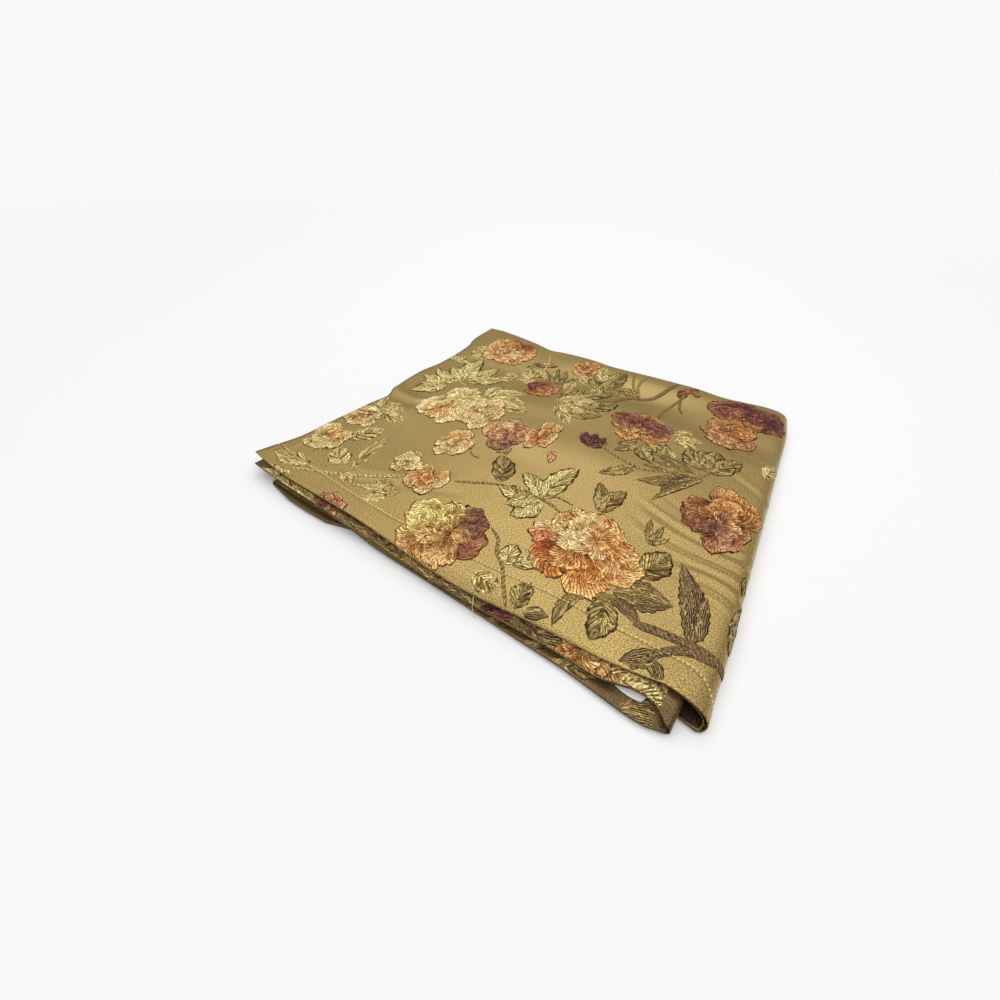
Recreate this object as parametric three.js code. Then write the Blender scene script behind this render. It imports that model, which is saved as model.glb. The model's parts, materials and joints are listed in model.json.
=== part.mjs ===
// Embroidered satin curtain panel, folded flat as it lies on a shelf.
//
// The panel is one oblong of satin with its hems pressed flat. It is doubled along its length, so a fold runs
// along the back and the two long hems lie on each other at the front. The doubled cloth is then turned over and
// over into four strips. The cloth runs through them in this order: top strip, big right fold, bottom strip, left
// fold, third strip, small right fold, second strip. That makes eight layers, each lying on those under it. A small
// blank label is caught in the front hem of the second strip and lies on the third.
//
// Millimetres. X runs along the front, Y from the front hems to the back fold, Z up. The panel lies on Z = 0, and
// the origin is under the middle of the pile.
import * as THREE from "three";

// ---- Driving dimensions
const SHEET = 1.2; // thickness of the embroidered satin
const PITCH = 3.35; // from one layer to the next in the pile
const SINK = 15; // run over which a layer sinks where the one under it ends
const HEM_STEP = 1.2; // how far the lower cloth of a strip is set back behind the upper one

// ---- The strips
// "under" counts the layers that lie under each cloth of a strip. The outer cloth shows its right side on top of
// the pile, and the inner cloth is doubled under it.
const STRIPS = {
  top: { under: { outer: 7, inner: 6 }, runs: "right" },
  bottom: { under: { outer: 0, inner: 1 }, runs: "left" },
  third: { under: { outer: 3, inner: 2 }, runs: "right" },
  second: { under: { outer: 4, inner: 5 }, runs: "left" },
};

// Front edge of each strip (y) at places along the front (x). The second and third strips stand out in front of
// the top one, and the bottom one stands out only at its left end, as a short stub.
const FRONT = [
  { x: -312, top: -289, second: -300, third: -303, bottom: -303 },
  { x: -270, top: -296, second: -304, third: -305, bottom: -304 },
  { x: -229, top: -300, second: -307, third: -308, bottom: -314 },
  { x: -134, top: -302, second: -311, third: -310, bottom: -315 },
  { x: -102, top: -303, second: -311, third: -310, bottom: -303 },
  { x: -59, top: -305, second: -312, third: -313, bottom: -300 },
  { x: 0, top: -309, second: -315, third: -315, bottom: -300 },
  { x: 60, top: -311, second: -317, third: -317, bottom: -300 },
  { x: 130, top: -307, second: -315, third: -320, bottom: -300 },
  { x: 180, top: -305, second: -315, third: -322, bottom: -300 },
  { x: 218, top: -304, second: -316, third: -326, bottom: -300 },
  { x: 246, top: -301, second: -310, third: -329, bottom: -300 },
  { x: 266, top: -297, second: -312, third: -329, bottom: -302 },
  { x: 284, top: -296, second: -324.7, third: -323.5, bottom: -307 },
  { x: 312, top: -300, second: -312, third: -312, bottom: -309 },
];

// Back fold (y) at places along the back (x).
const BACK = [
  { x: -312, fold: 296 },
  { x: -270, fold: 298 },
  { x: -188, fold: 285 },
  { x: -145, fold: 273 },
  { x: -117, fold: 279 },
  { x: -59, fold: 283 },
  { x: -10, fold: 277 },
  { x: 83, fold: 286 },
  { x: 147, fold: 290 },
  { x: 198, fold: 283 },
  { x: 254, fold: 296 },
  { x: 280, fold: 296 },
  { x: 312, fold: 275 },
];

// Left ends (x) at depths (y): the free ends of the top and second strips, and the left fold that joins the third
// and bottom strips.
const LEFT = [
  { y: -305, top: -314, second: -298, fold: -256 },
  { y: -257, top: -301, second: -294, fold: -266 },
  { y: -224, top: -292, second: -291, fold: -276 },
  { y: -167, top: -288, second: -288, fold: -284 },
  { y: -101, top: -282, second: -284, fold: -288 },
  { y: -64, top: -278, second: -285, fold: -288 },
  { y: -30, top: -288, second: -286, fold: -289 },
  { y: 39, top: -293, second: -287, fold: -290 },
  { y: 87, top: -287, second: -290, fold: -291 },
  { y: 180, top: -291, second: -297, fold: -293 },
  { y: 223, top: -303, second: -304, fold: -294 },
  { y: 297, top: -307, second: -313, fold: -296 },
];

// Right ends at depths (y). "outer" is the furthest reach (x) of the big right fold, which starts to turn down
// "over" before that, is widest "waist" above the floor, and runs back in "below" it. "inner" is the furthest
// reach (x) of the small right fold inside it.
const RIGHT = [
  { y: -302, outer: 309, over: 50, waist: 6, below: 6, inner: 284 },
  { y: -265, outer: 309, over: 32, waist: 8, below: 8, inner: 286 },
  { y: -215, outer: 310, over: 25, waist: 10, below: 10, inner: 290 },
  { y: -60, outer: 310, over: 22, waist: 11, below: 11, inner: 292 },
  { y: 148, outer: 310, over: 22, waist: 10, below: 11, inner: 291 },
  { y: 240, outer: 310, over: 24, waist: 9, below: 10, inner: 288 },
  { y: 297, outer: 305, over: 26, waist: 8, below: 10, inner: 281 },
];
const SMALL_TURN = 5.5; // how far the small right fold and the left fold bulge past the ends of their strips

// Height of the pile, as a share of its full height, at the left and right ends of each depth (y).
const PILE = [
  { y: -326, left: 1.0, right: 1.0 },
  { y: -60, left: 1.0, right: 1.02 },
  { y: 150, left: 1.02, right: 0.96 },
  { y: 297, left: 1.04, right: 0.84 },
];

// The soft trough that runs across the back half: its middle (y) and its depth at places along it (x).
const TROUGH = [
  { x: -260, middle: 112, depth: 0 },
  { x: -140, middle: 145, depth: 2.5 },
  { x: -30, middle: 170, depth: 4 },
  { x: 80, middle: 182, depth: 4.5 },
  { x: 190, middle: 162, depth: 4.5 },
  { x: 312, middle: 150, depth: 3 },
];
const TROUGH_REACH = 34; // half width of the trough

// ---- Where the surfaces are divided, as shares of the way
const ALONG = [0, 0.05, 0.13, 0.22, 0.28, 0.3, 0.32, 0.35, 0.46, 0.58, 0.69, 0.77, 0.84, 0.9, 0.93, 0.96, 1];
const DEPTHS = [0, 0.012, 0.024, 0.038, 0.055, 0.09, 0.25, 0.45, 0.6, 0.7, 0.8, 0.9, 1];
const TURN_STEPS = { big: 8, small: 6, back: 4 }; // facets round each fold

// ---- The label
// The shares of the third strip that it lies on, and how far it lifts the layers over it.
const LABEL = { along: [0.9, 0.93, 0.96], deep: [0.024, 0.038, 0.055], thickness: 1, lift: 1.4 };
const LIFTED = { x: [205, 225, 265, 285], y: [-300, -250] }; // where the lift starts, is full, and has gone

const { clamp, lerp, smoothstep } = THREE.MathUtils;
const WIDE = FRONT.at(-1).x; // half the reach of the tables along X

// Smooth curve through one column of a table whose rows lie along another column.
function curve(table, along, column, at) {
  const last = table.length - 1;
  const here = clamp(at, table[0][along], table[last][along]);
  let row = 0;
  while (row < last - 1 && here > table[row + 1][along]) row += 1;
  const slope = (k) => {
    const before = table[Math.max(k - 1, 0)];
    const after = table[Math.min(k + 1, last)];
    return (after[column] - before[column]) / (after[along] - before[along]);
  };
  const [start, end] = [table[row], table[row + 1]];
  const span = end[along] - start[along];
  const u = (here - start[along]) / span;
  const bend = u * u * (3 - 2 * u);
  const leave = u * (1 - u) * (1 - u) * slope(row) * span;
  const arrive = u * u * (u - 1) * slope(row + 1) * span;
  return lerp(start[column], end[column], bend) + leave + arrive;
}

// Front edge of one cloth of a strip.
function frontEdge(strip, cloth, x) {
  const { under } = STRIPS[strip];
  const isUpper = under[cloth] === Math.max(under.outer, under.inner);
  return curve(FRONT, "x", strip, x) + (isUpper ? 0 : HEM_STEP);
}

// The eight layers from the floor up, as [strip, cloth].
const LAYERS = Object.entries(STRIPS)
  .flatMap(([strip, { under }]) => Object.keys(under).map((cloth) => [strip, cloth]))
  .sort(([a, p], [b, q]) => STRIPS[a].under[p] - STRIPS[b].under[q]);

// How much of its full height the pile keeps at a place.
function press(x, y) {
  const side = (x + WIDE) / (2 * WIDE);
  const share = lerp(curve(PILE, "y", "left", y), curve(PILE, "y", "right", y), side);
  const off = (y - curve(TROUGH, "x", "middle", x)) / TROUGH_REACH;
  const sag = curve(TROUGH, "x", "depth", x) * Math.exp(-off * off);
  return share - sag / (PITCH * LAYERS.length);
}

// How far the label lifts a layer at a place.
function labelLift(under, x, y) {
  if (under <= STRIPS.third.under.outer) return 0;
  const [start, full, still, gone] = LIFTED.x;
  const beside = smoothstep(x, start, full) * (1 - smoothstep(x, still, gone));
  return LABEL.lift * beside * (1 - smoothstep(y, ...LIFTED.y));
}

// Height of the middle of a cloth that has `under` layers below it: each of them carries it as far as its own
// front edge, and a little past it.
function lie(under, x, y) {
  let height = 0;
  for (const [strip, cloth] of LAYERS.slice(0, under)) {
    height += PITCH * smoothstep(y - frontEdge(strip, cloth, x), -SINK, 0);
  }
  return SHEET / 2 + height * press(x, y) + labelLift(under, x, y);
}

// The depth (y) at which the tables of the ends are read, for a share of the way from front to back.
function depthOf(strip, deep) {
  return lerp(FRONT[0][strip], BACK[0].fold, deep);
}

function leftEnd(strip, y) {
  const isFree = strip === "top" || strip === "second";
  return isFree ? curve(LEFT, "y", strip, y) : curve(LEFT, "y", "fold", y) + SMALL_TURN;
}

function rightEnd(strip, y) {
  const outer = curve(RIGHT, "y", "outer", y);
  if (strip === "top") return outer - curve(RIGHT, "y", "over", y);
  if (strip === "bottom") return outer - curve(RIGHT, "y", "below", y);
  return curve(RIGHT, "y", "inner", y) - SMALL_TURN;
}

// A place on one cloth of a strip: `across` goes from its left end to its right end, `deep` from the front edge to
// the back fold.
function place(strip, cloth, across, deep) {
  const depth = depthOf(strip, deep);
  const x = lerp(leftEnd(strip, depth), rightEnd(strip, depth), across);
  const y = lerp(frontEdge(strip, cloth, x), curve(BACK, "x", "fold", x), deep);
  return new THREE.Vector3(x, y, lie(STRIPS[strip].under[cloth], x, y));
}

// The three folds, each after the strip that runs into it. The cloth inside a fold reaches one pitch less far.
const FOLDS = {
  top: { into: "bottom", side: "right", steps: TURN_STEPS.big, outermost: "outer" },
  bottom: { into: "third", side: "left", steps: TURN_STEPS.small, outermost: "outer" },
  third: { into: "second", side: "right", steps: TURN_STEPS.small, outermost: "inner" },
};

// How far a fold reaches (x) past the ends of its two strips, and the height (z) at which it is widest.
function foldReach(strip, from, to, inset, deep) {
  if (strip === "top") {
    const depth = depthOf(strip, deep);
    return { x: curve(RIGHT, "y", "outer", depth) - inset, z: curve(RIGHT, "y", "waist", depth) };
  }
  const outwards = FOLDS[strip].side === "right" ? 1 : -1;
  return { x: (from.x + to.x) / 2 + outwards * (SMALL_TURN - inset), z: (from.z + to.z) / 2 };
}

// A place on the fold that follows a strip: two quarter ellipses, from the end of the strip and from the end of the
// next one, that meet where the fold reaches furthest.
function foldPlace(strip, cloth, share, deep) {
  const { into, side, outermost } = FOLDS[strip];
  const across = side === "right" ? 1 : 0;
  const from = place(strip, cloth, across, deep);
  const to = place(into, cloth, across, deep);
  const reach = foldReach(strip, from, to, cloth === outermost ? 0 : PITCH, deep);
  const end = share < 0.5 ? from : to;
  const angle = Math.PI * share;
  return new THREE.Vector3(
    lerp(end.x, reach.x, Math.sin(angle)),
    lerp(from.y, to.y, smoothstep(share, 0, 1)),
    lerp(reach.z, end.z, Math.abs(Math.cos(angle))),
  );
}

// Stations along the cloth, from the free end on top to the free end of the second strip: each is a function that
// gives the place of a cloth at a depth.
function stationsAlong() {
  const stations = [];
  for (const [strip, { runs }] of Object.entries(STRIPS)) {
    const shares = runs === "right" ? ALONG : ALONG.toReversed();
    for (const across of shares) {
      stations.push((cloth, deep) => place(strip, cloth, across, deep));
    }
    const fold = FOLDS[strip];
    for (let k = 1; fold && k < fold.steps; k += 1) {
      stations.push((cloth, deep) => foldPlace(strip, cloth, k / fold.steps, deep));
    }
  }
  return stations;
}

// One row of places across the panel: outer cloth from front to back, round the back fold, inner cloth to the front.
function rowAcross(station) {
  const outer = DEPTHS.map((deep) => station("outer", deep));
  const inner = DEPTHS.map((deep) => station("inner", deep)).reverse();
  const [a, b] = [outer.at(-1), inner[0]];
  const middle = a.clone().lerp(b, 0.5);
  const arm = a.clone().sub(middle);
  const round = [];
  for (let k = 1; k < TURN_STEPS.back; k += 1) {
    const angle = (Math.PI * k) / TURN_STEPS.back;
    const out = new THREE.Vector3(0, arm.length() * Math.sin(angle), 0);
    round.push(middle.clone().addScaledVector(arm, Math.cos(angle)).add(out));
  }
  return [...outer, ...round, ...inner];
}

// A closed sheet of even thickness about a grid of places.
function sheetSolid(grid, thickness) {
  const [rows, columns] = [grid.length, grid[0].length];
  const index = (i, j) => i * columns + j;
  const along = (i, j) => {
    return grid[Math.min(i + 1, rows - 1)][j].clone().sub(grid[Math.max(i - 1, 0)][j]);
  };
  const across = (i, j) => {
    return grid[i][Math.min(j + 1, columns - 1)].clone().sub(grid[i][Math.max(j - 1, 0)]);
  };
  const faces = { upper: [], lower: [] };
  grid.forEach((row, i) => {
    row.forEach((point, j) => {
      const normal = along(i, j).cross(across(i, j)).normalize();
      faces.upper.push(point.clone().addScaledVector(normal, thickness / 2));
      faces.lower.push(point.clone().addScaledVector(normal, -thickness / 2));
    });
  });
  const offset = rows * columns;
  const triangles = [];
  const quad = (a, b, c, d) => triangles.push(a, b, c, a, c, d);
  for (let i = 0; i < rows - 1; i += 1) {
    for (let j = 0; j < columns - 1; j += 1) {
      const [a, b, c, d] = [index(i, j), index(i + 1, j), index(i + 1, j + 1), index(i, j + 1)];
      quad(a, b, c, d);
      quad(offset + a, offset + d, offset + c, offset + b);
    }
  }
  const rim = [];
  for (let i = 0; i < rows - 1; i += 1) rim.push(index(i, 0));
  for (let j = 0; j < columns - 1; j += 1) rim.push(index(rows - 1, j));
  for (let i = rows - 1; i > 0; i -= 1) rim.push(index(i, columns - 1));
  for (let j = columns - 1; j > 0; j -= 1) rim.push(index(0, j));
  rim.forEach((a, k) => {
    const b = rim[(k + 1) % rim.length];
    quad(offset + a, offset + b, b, a);
  });
  const geometry = new THREE.BufferGeometry();
  const points = [...faces.upper, ...faces.lower];
  geometry.setAttribute(
    "position",
    new THREE.Float32BufferAttribute(points.flatMap((p) => p.toArray()), 3),
  );
  geometry.setIndex(triangles);
  return geometry;
}

// The label as a grid of places, halfway between the cloth it lies on and the hem that holds it.
function labelGrid() {
  return LABEL.along.map((across) =>
    LABEL.deep.map((deep) => {
      const below = place("third", "outer", across, deep);
      return below.setZ(below.z + (PITCH * press(below.x, below.y) + LABEL.lift) / 2);
    }),
  );
}

function material(color, roughness) {
  return new THREE.MeshStandardMaterial({ color, roughness, metalness: 0 });
}

const cloth = sheetSolid(stationsAlong().map(rowAcross), SHEET);
const panel = new THREE.Mesh(cloth, material(0xb0935a, 0.5));
panel.name = "curtain_panel";
const label = new THREE.Mesh(sheetSolid(labelGrid(), LABEL.thickness), material(0xf2f1ec, 0.8));
label.name = "sewn_in_label";

// Both stand on Z = 0 with the middle of the pile's plan on the origin.
cloth.computeBoundingBox();
const middle = cloth.boundingBox.getCenter(new THREE.Vector3());
const toOrigin = new THREE.Matrix4().makeTranslation(-middle.x, -middle.y, -cloth.boundingBox.min.z);
const part = new THREE.Group();
for (const piece of [panel, label]) {
  piece.geometry.applyMatrix4(toOrigin);
  piece.geometry.computeVertexNormals();
  part.add(piece);
}
export default part;
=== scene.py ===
# %% [markdown]
# # Embroidered satin curtain panel, folded flat
#
# The panel is one oblong of gold satin about 2.37 by 1.20 m, with roses, leaves and stems worked on it in
# thick thread. It lies as it would on a linen shelf: doubled along its length, then turned over and over
# into four strips. The CAD model holds the folds at their real size. This script dresses them: the satin
# with its creases, the embroidery as raised threads, the stitches of the hem and a small blank label.

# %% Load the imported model, which is the frame that everything is placed in
import bpy
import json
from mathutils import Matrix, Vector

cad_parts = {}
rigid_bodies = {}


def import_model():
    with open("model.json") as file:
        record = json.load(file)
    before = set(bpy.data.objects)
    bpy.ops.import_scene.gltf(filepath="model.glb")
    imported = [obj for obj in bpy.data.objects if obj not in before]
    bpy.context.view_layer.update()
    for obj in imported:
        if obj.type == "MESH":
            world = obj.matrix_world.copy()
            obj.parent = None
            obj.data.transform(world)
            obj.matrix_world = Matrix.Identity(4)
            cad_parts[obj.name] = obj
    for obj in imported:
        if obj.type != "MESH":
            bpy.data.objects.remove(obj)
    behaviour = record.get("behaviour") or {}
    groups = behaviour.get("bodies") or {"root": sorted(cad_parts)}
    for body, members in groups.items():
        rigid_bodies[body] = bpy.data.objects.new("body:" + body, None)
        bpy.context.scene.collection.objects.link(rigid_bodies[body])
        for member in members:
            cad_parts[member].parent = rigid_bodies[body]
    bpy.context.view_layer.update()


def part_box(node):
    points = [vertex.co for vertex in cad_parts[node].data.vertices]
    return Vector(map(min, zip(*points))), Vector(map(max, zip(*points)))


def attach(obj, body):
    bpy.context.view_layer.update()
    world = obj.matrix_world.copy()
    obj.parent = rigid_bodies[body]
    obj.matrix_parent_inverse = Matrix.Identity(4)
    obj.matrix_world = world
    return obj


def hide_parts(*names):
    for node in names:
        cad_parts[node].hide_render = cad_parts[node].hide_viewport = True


for leftover in list(bpy.data.objects):  # what a new Blender file starts with
    bpy.data.objects.remove(leftover)
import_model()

import json
import math

import numpy as np
from mathutils import Matrix, Vector

panel_low, panel_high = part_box("curtain_panel")
print("the folded panel is", [round(1000 * side) for side in panel_high - panel_low], "mm")

# %% [markdown]
# ## The sizes of the folds
#
# The cloth has to lie exactly where the CAD model has it, so the same few sizes are kept here, in
# millimetres: the thickness of the cloth, the height from layer to layer, and short tables of the edges as
# they run unevenly along the front, the back, the left and the right.

# %% Sizes and tables of the folds
MM = 0.001
SHEET = 1.2  # thickness of the satin with its thread
PITCH = 3.35  # from one layer to the next in the pile
SINK = 15.0  # run over which a layer sinks where the one under it ends
HEM_STEP = 1.2  # how far the lower cloth of a strip is set back behind the upper one
SMALL_TURN = 5.5  # how far the small folds bulge past the ends of their strips
TROUGH_REACH = 34.0  # half width of the soft trough across the back
LABEL_LIFT = 1.4  # how far the label lifts the layers over it
LABEL_SIDES = (205, 225, 265, 285)  # where along the front the lift starts, is full, is still full and ends
LABEL_DEPTHS = (-300, -250)  # where behind the front the lift is still full, and where it ends


def columns(names, rows):
    """A table as a dictionary of its columns."""
    return {name: np.array(values) for name, values in zip(names.split(), zip(*rows))}


# the layers under each cloth of a strip, and the way in which the cloth runs
STRIPS = {
    "top": {"outer": 7, "inner": 6, "runs": "right"},
    "bottom": {"outer": 0, "inner": 1, "runs": "left"},
    "third": {"outer": 3, "inner": 2, "runs": "right"},
    "second": {"outer": 4, "inner": 5, "runs": "left"},
}
FRONT = columns("x top second third bottom", [
    (-312, -289, -300, -303, -303), (-270, -296, -304, -305, -304), (-229, -300, -307, -308, -314),
    (-134, -302, -311, -310, -315), (-102, -303, -311, -310, -303), (-59, -305, -312, -313, -300),
    (0, -309, -315, -315, -300), (60, -311, -317, -317, -300), (130, -307, -315, -320, -300),
    (180, -305, -315, -322, -300), (218, -304, -316, -326, -300), (246, -301, -310, -329, -300),
    (266, -297, -312, -329, -302), (284, -296, -324.7, -323.5, -307), (312, -300, -312, -312, -309),
])
BACK = columns("x fold", [
    (-312, 296), (-270, 298), (-188, 285), (-145, 273), (-117, 279), (-59, 283), (-10, 277), (83, 286),
    (147, 290), (198, 283), (254, 296), (280, 296), (312, 275),
])
LEFT = columns("y top second fold", [
    (-305, -314, -298, -256), (-257, -301, -294, -266), (-224, -292, -291, -276), (-167, -288, -288, -284),
    (-101, -282, -284, -288), (-64, -278, -285, -288), (-30, -288, -286, -289), (39, -293, -287, -290),
    (87, -287, -290, -291), (180, -291, -297, -293), (223, -303, -304, -294), (297, -307, -313, -296),
])
RIGHT = columns("y outer over waist below inner", [
    (-302, 309, 50, 6, 6, 284), (-265, 309, 32, 8, 8, 286), (-215, 310, 25, 10, 10, 290),
    (-60, 310, 22, 11, 11, 292), (148, 310, 22, 10, 11, 291), (240, 310, 24, 9, 10, 288),
    (297, 305, 26, 8, 10, 281),
])
PILE = columns("y left right", [(-326, 1, 1), (-60, 1, 1.02), (150, 1.02, 0.96), (297, 1.04, 0.84)])
TROUGH = columns("x middle depth", [
    (-260, 112, 0), (-140, 145, 2.5), (-30, 170, 4), (80, 182, 4.5), (190, 162, 4.5), (312, 150, 3),
])
# broad humps and hollows of the pile
SWELLS = columns("x y height reach_x reach_y", [
    (-235, -85, 1.4, 40, 28), (-150, -150, -1.0, 60, 40), (-60, 70, 1.0, 70, 36), (-215, 110, -1.2, 50, 40),
    (80, -40, 0.8, 70, 40), (235, 95, 0.9, 50, 30), (30, -235, -0.6, 60, 30), (-240, 250, 1.2, 40, 26),
    (130, -20, 3.0, 120, 60), (-60, -30, 3.0, 110, 56), (100, 208, -3.2, 130, 30),
    (-150, 150, -3.0, 90, 44), (-30, 196, -3.0, 110, 32), (60, 262, 2.8, 120, 28), (190, 262, 2.4, 60, 28),
    (-40, -130, 1.0, 70, 36), (-120, -210, 1.2, 60, 30), (60, -240, -1.0, 60, 24), (-10, -90, -1.0, 40, 24),
    (215, -110, 1.0, 40, 30), (-110, 98, -2.2, 64, 30), (-105, 45, 1.0, 60, 26),
])
WIDE = FRONT["x"][-1]
print(len(STRIPS), "strips make", 2 * len(STRIPS), "layers")

# %% [markdown]
# ## From the flat cloth to the pile
#
# A place on the cloth is named by its strip, by which of the doubled cloths it is on (the outer one has its
# right side up on top of the pile), and by where it is across and along that strip. These functions say
# where such a place lies. Every layer rests on those below it, so its height is one step for each of them,
# and it sinks in a soft curve where they end. Cloth, embroidery, stitches and label all use them, so
# nothing floats or cuts in.


# %% Where a place on the cloth lies
def lerp(start, end, share):
    return start + (end - start) * share


def smoothstep(value, start, end):
    u = np.clip((value - start) / (end - start), 0, 1)
    return u * u * (3 - 2 * u)


def curve(table, along, column, at):
    """Smooth curve through one column of a table whose rows lie along another column."""
    points, values = table[along].astype(float), table[column].astype(float)
    last = len(points) - 1
    here = np.clip(at, points[0], points[-1])
    row = np.clip(np.searchsorted(points, here) - 1, 0, last - 1)
    before, after = np.maximum(np.arange(last + 1) - 1, 0), np.minimum(np.arange(last + 1) + 1, last)
    slope = (values[after] - values[before]) / (points[after] - points[before])
    span = points[row + 1] - points[row]
    u = (here - points[row]) / span
    bend = lerp(values[row], values[row + 1], u * u * (3 - 2 * u))
    return bend + span * u * (1 - u) * ((1 - u) * slope[row] - u * slope[row + 1])


def front_edge(strip, cloth, x):
    layers = STRIPS[strip]
    is_upper = layers[cloth] == max(layers["outer"], layers["inner"])
    return curve(FRONT, "x", strip, x) + (0 if is_upper else HEM_STEP)


LAYERS = sorted((STRIPS[strip][cloth], strip, cloth) for strip in STRIPS for cloth in ("outer", "inner"))


def press(x, y):
    """The share of its full height that the pile keeps at a place."""
    share = lerp(curve(PILE, "y", "left", y), curve(PILE, "y", "right", y), (x + WIDE) / (2 * WIDE))
    off = (y - curve(TROUGH, "x", "middle", x)) / TROUGH_REACH
    return share - curve(TROUGH, "x", "depth", x) * np.exp(-off * off) / (PITCH * len(LAYERS))


def label_lift(under, x, y):
    if under <= STRIPS["third"]["outer"]:
        return 0.0
    beside = smoothstep(x, *LABEL_SIDES[:2]) * (1 - smoothstep(x, *LABEL_SIDES[2:]))
    return LABEL_LIFT * beside * (1 - smoothstep(y, *LABEL_DEPTHS))


def swell(x, y):
    """How far the top of the pile is raised or sunk by its broad humps and hollows."""
    height = np.zeros(np.broadcast(x, y).shape)
    for mid_x, mid_y, tall, reach_x, reach_y in zip(*SWELLS.values()):
        height += tall * np.exp(-(((x - mid_x) / reach_x) ** 2) - ((y - mid_y) / reach_y) ** 2)
    return height


def lie(under, x, y):
    """Height of the middle of a cloth that has some layers under it."""
    height = 0.0
    for _, strip, cloth in LAYERS[:under]:
        height = height + PITCH * smoothstep(y - front_edge(strip, cloth, x), -SINK, 0)
    share = under / (len(LAYERS) - 1)
    return SHEET / 2 + height * press(x, y) + label_lift(under, x, y) + share * swell(x, y)


def depth_of(strip, deep):
    return lerp(float(FRONT[strip][0]), float(BACK["fold"][0]), deep)


def left_end(strip, y):
    if strip in ("top", "second"):
        return curve(LEFT, "y", strip, y)
    return curve(LEFT, "y", "fold", y) + SMALL_TURN


def right_end(strip, y):
    if strip in ("third", "second"):
        return curve(RIGHT, "y", "inner", y) - SMALL_TURN
    back = "over" if strip == "top" else "below"
    return curve(RIGHT, "y", "outer", y) - curve(RIGHT, "y", back, y)


def place(strip, cloth, across, deep):
    """A place on a cloth: across from its left end to its right, deep from its front edge to its back."""
    depth = depth_of(strip, deep)
    x = lerp(left_end(strip, depth), right_end(strip, depth), across)
    y = lerp(front_edge(strip, cloth, x), curve(BACK, "x", "fold", x), deep)
    return np.stack(np.broadcast_arrays(x, y, lie(STRIPS[strip][cloth], x, y)), -1)


FOLDS = {
    "top": {"into": "bottom", "side": 1, "outermost": "outer"},
    "bottom": {"into": "third", "side": 0, "outermost": "outer"},
    "third": {"into": "second", "side": 1, "outermost": "inner"},
}


def fold_place(strip, cloth, share, deep):
    """A place on the fold after a strip: two quarter ellipses that meet where the fold reaches furthest."""
    fold = FOLDS[strip]
    start, end = place(strip, cloth, fold["side"], deep), place(fold["into"], cloth, fold["side"], deep)
    inset = 0 if cloth == fold["outermost"] else PITCH
    if strip == "top":
        depth = depth_of(strip, deep)
        reach = (curve(RIGHT, "y", "outer", depth) - inset, curve(RIGHT, "y", "waist", depth))
    else:
        outwards = 1 if fold["side"] else -1
        reach = ((start[..., 0] + end[..., 0]) / 2 + outwards * (SMALL_TURN - inset),
                 (start[..., 2] + end[..., 2]) / 2)
    near = np.where((np.asarray(share) < 0.5)[..., None], start, end)
    angle = np.pi * share
    return np.stack(np.broadcast_arrays(
        lerp(near[..., 0], reach[0], np.sin(angle)),
        lerp(start[..., 1], end[..., 1], smoothstep(share, 0, 1)),
        lerp(reach[1], near[..., 2], np.abs(np.cos(angle))),
    ), -1)


middle = place("top", "outer", np.float64(0.5), np.float64(0.5))
print("the middle of the top strip lies", round(float(middle[2]), 1), "mm above the floor")

# %% [markdown]
# ## Creases of the top
#
# Satin keeps the marks of its handling. Fine curved creases run into the big right fold, the hem is doubled
# and so stands a little proud as far as its stitches, and the free left end has a hem of its own. Each
# crease is a soft ridge or groove with a path, a height and a half width.

# %% Creases and hems
# which way it runs, four stations along that way, its place across it at each, height, half width
CREASES = [
    ("x", (150, 200, 250, 318), (-62, -84, -96, -90), 0.8, 2.4),
    ("x", (152, 205, 255, 320), (-72, -96, -107, -102), -0.8, 2.2),
    ("x", (160, 215, 262, 320), (-86, -110, -116, -118), 0.7, 2.4),
    ("x", (150, 212, 262, 318), (-92, -124, -128, -132), -0.9, 2.2),
    ("x", (160, 214, 262, 320), (-112, -137, -140, -146), 0.8, 2.4),
    ("x", (205, 245, 285, 322), (-158, -148, -148, -160), -0.8, 2.2),
    ("x", (215, 250, 288, 322), (-172, -157, -157, -173), 0.8, 2.6),
    ("x", (225, 255, 290, 322), (-182, -167, -168, -186), -0.8, 2.4),
    ("x", (236, 262, 292, 322), (-194, -180, -183, -200), 0.6, 3.0),
    ("x", (236, 258, 282, 322), (58, 48, 32, 2), -1.0, 2.6),
    ("x", (228, 252, 280, 322), (72, 62, 46, 20), 0.7, 3.0),
    ("x", (180, 225, 270, 322), (138, 118, 108, 100), -0.7, 3.0),
    ("x", (150, 190, 225, 262), (-30, -52, -66, -70), -0.5, 2.6),
    ("x", (-300, -275, -250, -215), (-36, -42, -46, -46), 2.6, 9.0),
    ("x", (-300, -272, -250, -220), (-62, -64, -66, -70), -1.2, 9.0),
    ("x", (-290, -255, -220, -180), (-259, -266, -268, -262), -0.8, 2.6),
    ("x", (-185, -140, -90, -20), (-266, -246, -224, -196), -0.9, 7.0),
    ("x", (-205, -150, -95, -40), (-238, -228, -204, -172), 0.7, 9.0),
    ("y", (-292, -275, -250, -225), (-287, -284, -280, -279), 0.8, 2.6),
    ("y", (-297, -288, -280, -268), (-170, -168, -165, -162), 0.8, 2.2),
    ("y", (-80, -40, 10, 60), (-150, -148, -147, -146), -0.7, 2.2),
]
# the line of stitches that holds the front hem
HEM = columns("x y", [
    (-290, -259), (-240, -266), (-200, -268), (-153, -273), (-64, -277), (38, -276), (82, -273),
    (140, -268), (207, -268), (256, -267), (281, -267), (296, -271), (310, -281), (322, -292),
])
HEM_PROUD = 0.5  # how far the doubled front hem stands out
HEM_GROOVE, HEM_GROOVE_REACH = 0.45, 1.4  # depth and half width of the groove that its stitches draw in
END_HEM = 24.0  # from the free left end to the groove of its own hem
END_GROOVE, END_GROOVE_REACH = 0.35, 1.6  # depth and half width of that groove


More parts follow.
